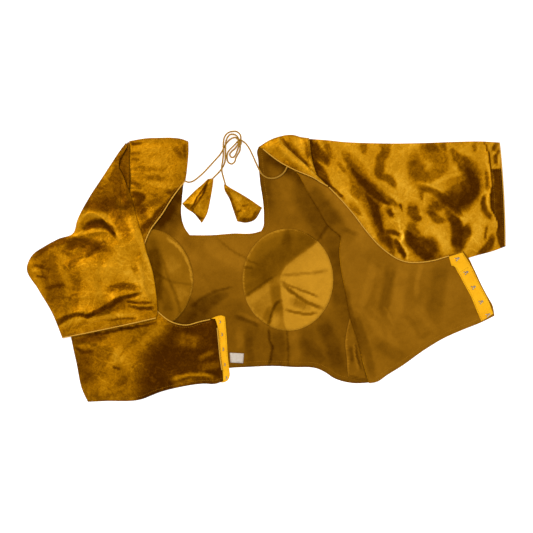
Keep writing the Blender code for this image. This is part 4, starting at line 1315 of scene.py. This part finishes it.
def hem_band(points, line, width):
    """Extra thickness of a turned hem along an edge, with the groove of its stitching."""
    gap = beside(line, points)[0]
    band = HEM_RISE * np.clip((width - gap) / HEM_STEP, 0, 1)
    return band - 0.5 * HEM_RISE * np.exp(-(((gap - width + GROOVE_INSET) / GROOVE_WIDTH) ** 2))


def lay(name, ring, finish, node, surface=None, bed=None, lift=0.0, thickness=CLOTH, shape=None, hems=()):
    """A cloth cut to a ring and laid on a bed, with its creases and hems: the piece and its upper side."""
    points, faces = fill(ring, FINE)
    height, tone = tone_and_height(surface or name, points)
    inward = rim_gap(ring, points)
    height = (height + AIR) * np.clip(inward / QUIET_RIM, 0.2, 1)
    if shape is not None:
        height = height + shape(points)
    under = (bed or Bed()).drape(points, faces, FINE, height) + lift
    edge = np.clip(inward / ROUND_RIM, 0, 1)
    thick = EDGE + (thickness - EDGE) * edge
    for line, width in hems:
        thick = thick + hem_band(points, line, width) * edge
    piece = shell(name, points, faces, under, thick, tone, finish, node)
    return piece, Sheet(points, faces, under + thick, FINE)


def lay_sheet(name, ring, finish, node, held, *rests_on, **how):
    """Lays a cloth. How it is held and what it rests on are not used. Returns its upper side."""
    piece, sheet = lay(name, ring, finish, node, **how)
    return sheet


def ripples(points, outline, *rows):
    """The puckers along an outline's edges, from (edge, reach, height, pitch, seed) rows."""
    return sum(puckers(points, smooth(outline[edge], SEAM_SPACING), *row) for edge, *row in rows)


def edges(outline, *rows):
    """(points of an edge, inset) pairs for sewing, from (name of the edge, inset) pairs."""
    return [(outline[edge], inset) for edge, inset in rows]


def seams(outline, *rows):
    """(line of a hem, width) pairs for laying, from (name of the edge, width) pairs."""
    return [(smooth(outline[edge], SEAM_SPACING), width) for edge, width in rows]


def cord_edge(name, sheet, knots, node):
    """A corded edge just inside a sheet's edge, which runs clockwise, on its upper side."""
    line = offset(smooth(knots, 2.2), PIPING / 2)
    heights = sheet.height(line)
    heights = np.maximum.reduce([heights, np.roll(heights, 1), np.roll(heights, -1)])
    heights[[0, -1]] = sheet.height(line[[0, -1]])
    return tube(name, np.column_stack([line, heights + PIPING_LIFT + PIPING / 2]), PIPING, "piping", node)


STITCH_PARTS = (
    # share of the pitch, share of the thread's width, height in half widths
    (0.0, 0.45, -0.5),
    (0.36, 1.0, 0.5),
    (0.72, 0.45, -0.5),
)
STITCH_SIDES = 6


def stitch(ends):
    """The points of one stitch: a ring round each of its two sunk ends and its raised middle."""
    ahead = (ends[2] - ends[0]) / np.linalg.norm(ends[2] - ends[0])
    across = np.cross(ahead, (0, 0, 1.0))
    across /= np.linalg.norm(across)
    up = np.cross(across, ahead)
    turns = np.arange(STITCH_SIDES) * math.pi / 3
    ring = np.cos(turns)[:, None] * across + np.sin(turns)[:, None] * up
    return [
        place + ring * radius * THREAD / 2 + up * sink * THREAD / 2
        for place, (_, radius, sink) in zip(ends, STITCH_PARTS)
    ]


def stitch_faces(first):
    faces = []
    for row in (first, first + STITCH_SIDES):
        for i in range(STITCH_SIDES):
            j = (i + 1) % STITCH_SIDES
            faces.append([row + i, row + j, row + STITCH_SIDES + j, row + STITCH_SIDES + i])
    faces.append([first + i for i in reversed(range(STITCH_SIDES))])
    faces.append([first + 2 * STITCH_SIDES + i for i in range(STITCH_SIDES)])
    return faces


def sew(name, sheet, rows, finish="thread", pitch=STITCH):
    """One mesh of stitches on a sheet, from (line, how far to its right) pairs."""
    places, faces = [], []
    for line, inset in rows:
        line = smooth(line, 1.0)
        line = offset(line, inset) if inset else line
        run = run_along(line)
        for start in np.arange(0.5, run[-1] - pitch, pitch):
            spots = [start + part * pitch for part, _, _ in STITCH_PARTS]
            ends = [[np.interp(spot, run, line[:, axis]) for axis in (0, 1)] for spot in spots]
            faces += stitch_faces(STITCH_SIDES * len(places))
            places += stitch(np.column_stack([ends, sheet.height(ends)]))
    return add_piece(name, make_mesh(name, np.vstack(places), faces), finish)


# The garment, from the table up


def bowls(points):
    """Height of the front around its two cups: each is a shallow bowl with a raised rim."""
    total = np.zeros(len(points))
    for x, y, rim in CUPS.values():
        away = np.linalg.norm((points - (x, y)) / CUP_RADII, axis=1)
        outside = np.clip(1 - (np.maximum(away - 1, 0) / 0.42) ** 1.2, 0, 1) ** 1.5
        total = np.maximum(total, rim * np.where(away < 1, away**2.2, outside))
    return total


def build_front():
    ring = ring_of(FRONT, FINE)
    inner = shrunk(ring, TURNED_IN)
    hems = seams(FRONT, ("neck_right", 7.5), ("neck_low", 6), ("hem", 9))

    def shape(points):
        return bowls(points) + ripples(points, FRONT, ("hem", 6, 0.4, 9, 2.0))

    both = {"surface": "front", "bed": Bed(), "shape": shape}
    lay_sheet("front_outside", ring, "satin", "front_shell", "laid", "floor", **both)
    both.update(lift=CLOTH + GAP, hems=hems)
    sheet = lay_sheet("front_inside", inner, "lining", "front_lining", "laid", "front_outside", **both)
    sew("front_stitches", sheet, edges(FRONT, ("neck_right", 6.5), ("neck_low", 5.0), ("hem", 7.5)))
    sew("front_ticks", sheet, edges(FRONT, ("hem", 2.4)), "dark thread", pitch=5.6)


def build_cups():
    for name, (x, y, _) in CUPS.items():
        ring = ellipse((x, y), CUP_RADII, FINE)
        piece, sheet = lay(f"{name}_pad", ring, "cup", name, surface=name, thickness=PAD)
        sew(f"{name}_stitches", sheet, [(closed(ring)[::4], 2.0)])


def build_inside_pieces():
    """The label, the side-seam allowance, and the eye placket with its eyes."""
    ring = ring_of(LABEL, 2.0)
    thin = {"thickness": LABEL_THICKNESS}
    sheet = lay_sheet("label_woven", ring, "label", "label", "laid", "front_inside", **thin)
    sew("label_stitches", sheet, [(edge_of(LABEL, edge, 2.0), 1.0) for edge in ("side", "inner")], pitch=1.6)
    ring = ring_of(SIDE_ALLOWANCE, FINE)
    lay_sheet("side_allowance", ring, "satin back", "side_allowance_right", "laid", "front_inside")
    ring = ring_of(EYE_PLACKET, FINE)
    sheet = lay_sheet("eye_placket", ring, "placket", "eye_placket_left", "laid", "front_inside")
    sew("eye_placket_stitches", sheet, edges(EYE_PLACKET, ("edge", 2.0), ("edge", 10.0)))
    across, along = EYE_RADII
    turns = np.linspace(math.pi, 0, 16)
    for number, (x, y) in enumerate(EYES, 1):
        height = sheet.height([(x, y)])[0] + GAP + WIRE / 2
        route = [(x + across * math.sin(turn), y + along * math.cos(turn), height) for turn in turns]
        tube(f"eye_loop_{number}", route, WIRE, "steel", f"eye_{number}")


def build_strap_lower():
    ring = ring_of(STRAP_LOWER, FINE)

    def shape(points):
        return ripples(points, STRAP_LOWER, ("armhole", 9, 0.7, 6, 3.0))

    how = {"shape": shape, "hems": seams(STRAP_LOWER, ("armhole", 3.0))}
    under = ("front_inside", "sleeve_right_tube")
    sheet = lay_sheet("strap_lower", ring, "satin", "strap_right_lower", "folded", *under, **how)
    sew("strap_lower_stitches", sheet, edges(STRAP_LOWER, ("armhole", 1.6)), "dark thread")


def build_back_right():
    """The right back's two cloths. Returns the upper side of the lining."""
    ring = ring_of(BACK_RIGHT, FINE)
    inner = shrunk(ring, TURNED_IN_BACK)
    both = {"surface": "back_right", "bed": Bed()}
    under = ("front_inside", "sleeve_right_tube")
    lay_sheet("back_right_outside", ring, "satin", "back_right_shell", "folded", *under, **both)
    both.update(lift=CLOTH + GAP, hems=seams(BACK_RIGHT, ("hem", 8)))
    node, under = "back_right_lining", "back_right_outside"
    lining = lay_sheet("back_right_inside", inner, "lining", node, "folded", under, **both)
    sew("back_right_stitches", lining, edges(BACK_RIGHT, ("hem", 6.5)))
    return lining


def build_hooks():
    """The hook placket and its hooks: each is a bent wire that goes out and back on the other side."""
    ring = ring_of(HOOK_PLACKET, FINE)
    sheet = lay_sheet("hook_placket", ring, "placket", "hook_placket_right", "laid", "back_right_inside")
    rows = [*edges(HOOK_PLACKET, ("edge", 1.8), ("inner", 1.8)), (HOOK_SEAM, 0)]
    sew("hook_placket_stitches", sheet, rows, "dark thread")
    wire = [*HOOK_WIRE, *((along, -side) for along, side in HOOK_WIRE[-2::-1])]
    across = np.array((math.cos(HOOK_TURN + math.pi / 2), math.sin(HOOK_TURN + math.pi / 2)))
    sideways = np.array((-across[1], across[0]))
    for number, place in enumerate(HOOKS, 1):
        height = sheet.height([place])[0] + GAP + WIRE / 2
        route = [(*(np.array(place) + along * across + side * sideways), height) for along, side in wire]
        tube(f"hook_wire_{number}", smooth(route, 0.5), WIRE, "steel", f"hook_{number}")


def build_strap_rolled():
    ring = ring_of(STRAP_ROLLED, FINE)
    under = ("strap_lower", "back_right_inside")
    return lay_sheet("strap_rolled", ring, "satin", "strap_right_rolled", "folded", *under, shape=roll)


def roll(points):
    """The rolled strap is fullest along the ridge where it turns over."""
    gap, passed, _ = beside(smooth(STRAP_ROLLED["ridge"], SEAM_SPACING), points)
    return 2.2 * np.exp(-(((gap - 5) / 7.0) ** 2)) * np.sin(np.pi * np.clip(passed, 0.1, 0.95))


def sleeve(name, sections, node, spacing):
    """A flattened tube through the sections, with the creases of its upper side, open at both ends.

    Returns the piece, its upper side, the points across it and along it, the area of its two sides and the
    widest distance all round it.
    """
    table = np.array(sections, float)
    rows = smooth(table, 1.0)
    middles = (rows[:, 0:2] + rows[:, 2:4]) / 2
    along = round(step_lengths(middles).sum() / spacing)
    across = round(np.linalg.norm(rows[:, 0:2] - rows[:, 2:4], axis=1).max() / spacing)
    rows = rows[np.linspace(0, len(rows) - 1, along + 1).round().astype(int)]
    share = np.linspace(0, 1, across + 1)
    grid = rows[:, None, 0:2] * (1 - share)[None, :, None] + rows[:, None, 2:4] * share[None, :, None]
    grid[..., 0] += (rows[:, 4:5] * 4 * (share * (1 - share))[None]) * np.sign(table[-1, 0] - table[0, 0])
    points = grid.reshape(-1, 2)
    first = (np.arange(along)[:, None] * (across + 1) + np.arange(across)).reshape(-1)
    halves = ((first, first + 1, first + across + 2), (first, first + across + 2, first + across + 1))
    faces = np.vstack([np.column_stack(half) for half in halves])
    height, tone = tone_and_height(name, points)
    under = Bed().drape(points, faces, spacing, np.zeros(len(points)))
    round_off = np.tile(np.minimum(1.0, 0.15 + 9 * share * (1 - share)), along + 1)
    quiet = np.clip(np.linspace(0, along * spacing, along + 1) / SLEEVE_QUIET, 0.3, 1)
    height = height * np.repeat(quiet, across + 1)
    tops = under + 2 * CLOTH + SLEEVE_ROOM + np.maximum(HOLLOW + AIR + height, 0) * round_off
    piece = tube_cloth(f"{name}_tube", grid, under, tops, tone, node)
    sheet = Sheet(points, faces, tops, spacing)
    first, second, third = (points[faces[:, corner]] for corner in range(3))
    area = 2 * np.abs(np.cross(second - first, third - first)).sum() / 2
    widest = 2 * np.linalg.norm(rows[:, 0:2] - rows[:, 2:4], axis=1).max()
    return piece, sheet, grid, area, widest


def tube_cloth(name, grid, under, tops, tone, node):
    """The wall of a flattened tube, from rings of points: one on its outside, one a cloth's width inside."""
    shape = grid.shape[:2]
    under, tops, tone = (part.reshape(shape) for part in (under, tops, tone))
    places, tones = [], []
    for spots, low, high, shades in zip(grid, under, tops, tone):
        inset = (spots[-1] - spots[0]) / np.linalg.norm(spots[-1] - spots[0]) * CLOTH
        squeezed = spots.copy()
        squeezed[0] += inset
        squeezed[-1] -= inset
        for line, down, up in ((spots, low, high), (squeezed, low + CLOTH * 0.8, high - CLOTH * 0.8)):
            places.append(ring_section(line, down, up, inset * 0.5))
        shade = np.concatenate([BACK_TONE * shades, shades[-1:], shades[::-1], shades[:1]])
        tones += [shade, shade]
    count = len(places[0])
    last = 2 * (len(grid) - 1) * count

    def band(lower, upper):
        """Quads between the two rings that start at these points."""
        around = np.arange(count)
        after = np.roll(around, -1)
        return np.column_stack([lower + around, lower + after, upper + after, upper + around])

    faces = []
    for outer in range(0, last, 2 * count):
        inner = outer + count
        faces.append(band(outer, outer + 2 * count))
        faces.append(band(inner, inner + 2 * count)[:, [1, 0, 3, 2]])
    faces.append(band(count, 0))
    faces.append(band(last, last + count))
    data = make_mesh(name, np.vstack(places), np.vstack(faces).tolist(), np.concatenate(tones))
    return add_piece(name, data, "satin", node)


def ring_section(spots, low, high, inset):
    """One ring round a flattened tube: along its lower side, round a fold, back above, round the other."""
    lower = np.column_stack([spots, low])
    upper = np.column_stack([spots, high])[::-1]
    lower[0, :2] += inset
    upper[-1, :2] += inset
    lower[-1, :2] -= inset
    upper[0, :2] -= inset
    near = [[*spots[0], (low[0] + high[0]) / 2]]
    far = [[*spots[-1], (low[-1] + high[-1]) / 2]]
    return np.vstack([lower, far, upper, near])


def build_sleeve(side, sections, node, cuff_node, spacing):
    piece, sheet, grid, area, widest = sleeve(f"sleeve_{side}", sections, node, spacing)
    rows = np.array(sections, float)
    length = step_lengths((rows[:, 0:2] + rows[:, 2:4]) / 2).sum()
    inward = unit(grid[-3] - grid[-1])
    line = (grid[-1] + inward * PIPING * 0.6)[1:-1]
    heights = np.max([sheet.height(line + inward[1:-1] * shift) for shift in (-0.5, 0.9, 1.8)], axis=0)
    route = np.column_stack([line, heights + PIPING_LIFT + PIPING / 2])
    tube(f"cuff_edge_{side}", route, PIPING, "piping", cuff_node)
    sew(f"cuff_stitches_{side}", sheet, [((grid[-1] + inward * gap)[2:-2], 0) for gap in CUFF_SEAMS])


def build_left_side():
    """The left back with its strap, its pipings, and the gathered head of the left sleeve."""
    ring = ring_of(BACK_LEFT, FINE)

    def shape(points):
        rows = (
            # edge, reach, height, pitch, seed
            ("armhole", 9, 0.8, 7, 3.0),
            ("neck", 7, 0.5, 8, 5.0),
            ("hem", 7, 0.45, 7, 1.0),
            ("strap", 6, 0.4, 7, 7.0),
        )
        return ripples(points, BACK_LEFT, *rows)

    hems = (("armhole", 3.0), ("shoulder", 3.5), ("hem", 7.0), ("neck", 5.5), ("strap", 3.0))
    how = {"shape": shape, "hems": seams(BACK_LEFT, *hems)}
    under = ("front_inside", "eye_placket")
    back = lay_sheet("back_left", ring, "satin", "back_left_shell", "folded", *under, **how)
    cord_edge("neck_edge_left", back, BACK_LEFT["neck"], "neck_piping_left")
    cord_edge("opening_edge_left", back, BACK_LEFT["opening"][1:], "opening_piping_left")
    insets = (("shoulder", 2.6), ("hem", 5.0), ("strap", 2.2), ("neck", 4.5), ("armhole", 1.8))
    sew("back_left_stitches", back, edges(BACK_LEFT, *insets))
    ring = ring_of(SLEEVE_CAP, 2.0)
    lay_sheet("sleeve_cap", ring, "satin", "sleeve_cap_left", "gathered", "back_left")


def build_tassels():
    made = []
    for name, outline in (("tassel_left", TASSEL_LEFT), ("tassel_right", TASSEL_RIGHT)):
        ring = ring_of(outline, TASSEL_FINE)
        points, faces = fill(ring, TASSEL_FINE)
        height, tone = tone_and_height(name, points)
        inward = rim_gap(ring, points)
        thick = 1.0 + TASSEL_MIDDLE * np.clip(inward / 16.0, 0, 1) ** 0.55
        thick = thick + height * np.clip(inward / 4, 0, 1)
        thick += puckers(points, closed(ring), 3, 0.3, 4, 1.0) * np.clip(inward / 1.5, 0, 1)
        under = Bed().drape(points, faces, TASSEL_FINE, np.zeros(len(points)))
        piece = shell(f"{name}_satin", points, faces, under, np.maximum(thick, 0.6), tone, "satin", name)
        Sheet(points, faces, under + thick, TASSEL_FINE)
        made.append(piece)
    return made


def build_doris():
    cords = {}
    for side, knots in DORIS.items():
        route = smooth(knots, 1.0)
        nodes = [f"dori_{side}_{stretch}" for stretch in ("start", "loop", "end")]
        cords[side] = tube(f"dori_{side}", route, CORD, "cord", *nodes, sides=4)
    return cords


def build_knot():
    """The bow's knot: a cord wrapped round its middle, thinner at its two ends."""
    turns = np.linspace(0, KNOT_TURNS * 2 * math.pi, 90)
    climb = np.linspace(-KNOT_CLIMB, KNOT_CLIMB, len(turns))
    squash = np.sqrt(np.clip(1 - (climb / 7.2) ** 2, 0.2, 1))
    route = np.column_stack(
        [
            KNOT[0] + 2.9 * squash * np.cos(turns) - 0.35 * climb,
            KNOT[1] + 1.15 * climb + 0.7 * np.sin(turns * 0.5),
            KNOT[2] + 0.2 + 2.3 * squash * np.sin(turns),
        ]
    )
    sides = 10
    ahead = unit(np.gradient(route, axis=0))
    across = unit(np.cross(ahead, (0, 1.0, 0)))
    up = np.cross(across, ahead)
    ends = np.clip(np.minimum(np.arange(len(route)), np.arange(len(route))[::-1]) / 4, 0.15, 1)
    places = []
    for turn in np.arange(sides) * 2 * math.pi / sides:
        places.append(route + (across * math.cos(turn) + up * math.sin(turn)) * (CORD / 2 * ends)[:, None])
    places = np.stack(places, axis=1).reshape(-1, 3)
    faces = []
    for row in range(len(route) - 1):
        for i in range(sides):
            j = (i + 1) % sides
            faces.append([row * sides + i, row * sides + j, (row + 1) * sides + j, (row + 1) * sides + i])
    faces.append(list(range(sides - 1, -1, -1)))
    faces.append([len(places) - sides + i for i in range(sides)])
    return add_piece("bow_knot", make_mesh("bow_knot", places, faces), "cord", "knot")


def build_floor():
    data = bpy.data.meshes.new("floor")
    signs = ((-1, -1), (1, -1), (1, 1), (-1, 1))
    corners = [(x * FLOOR_HALF, y * FLOOR_HALF, FLOOR_HEIGHT) for x, y in signs]
    data.from_pydata(corners, [], [(0, 1, 2, 3)])
    floor = bpy.data.objects.new("floor", data)
    data.materials.append(floor_finish())
    bpy.context.scene.collection.objects.link(floor)


make_camera()
light_scene()
build_floor()
materials = make_materials()
build_front()
build_cups()
build_inside_pieces()
build_sleeve("right", SLEEVE_RIGHT, "sleeve_right", "cuff_piping_right", 1.9)
build_strap_lower()
lining_right = build_back_right()
build_hooks()
rolled = build_strap_rolled()
build_left_side()
build_sleeve("left", SLEEVE_LEFT, "sleeve_left", "cuff_piping_left", 1.7)
strap_end = STRAP_ROLLED["neck"][0][0] + STRAP_OVERLAP
neck = [NECK_PIPING_START, *(knot for knot in BACK_RIGHT["neck"] if knot[0] > strap_end)]
cord_edge("neck_edge_right", lining_right, neck, "neck_piping_right")
strap = [STRAP_PIPING_START, *STRAP_ROLLED["neck"][1:]]
cord_edge("strap_edge_right", rolled, strap, "strap_piping_right")
cords = build_doris()
knot = build_knot()
tassels = build_tassels()
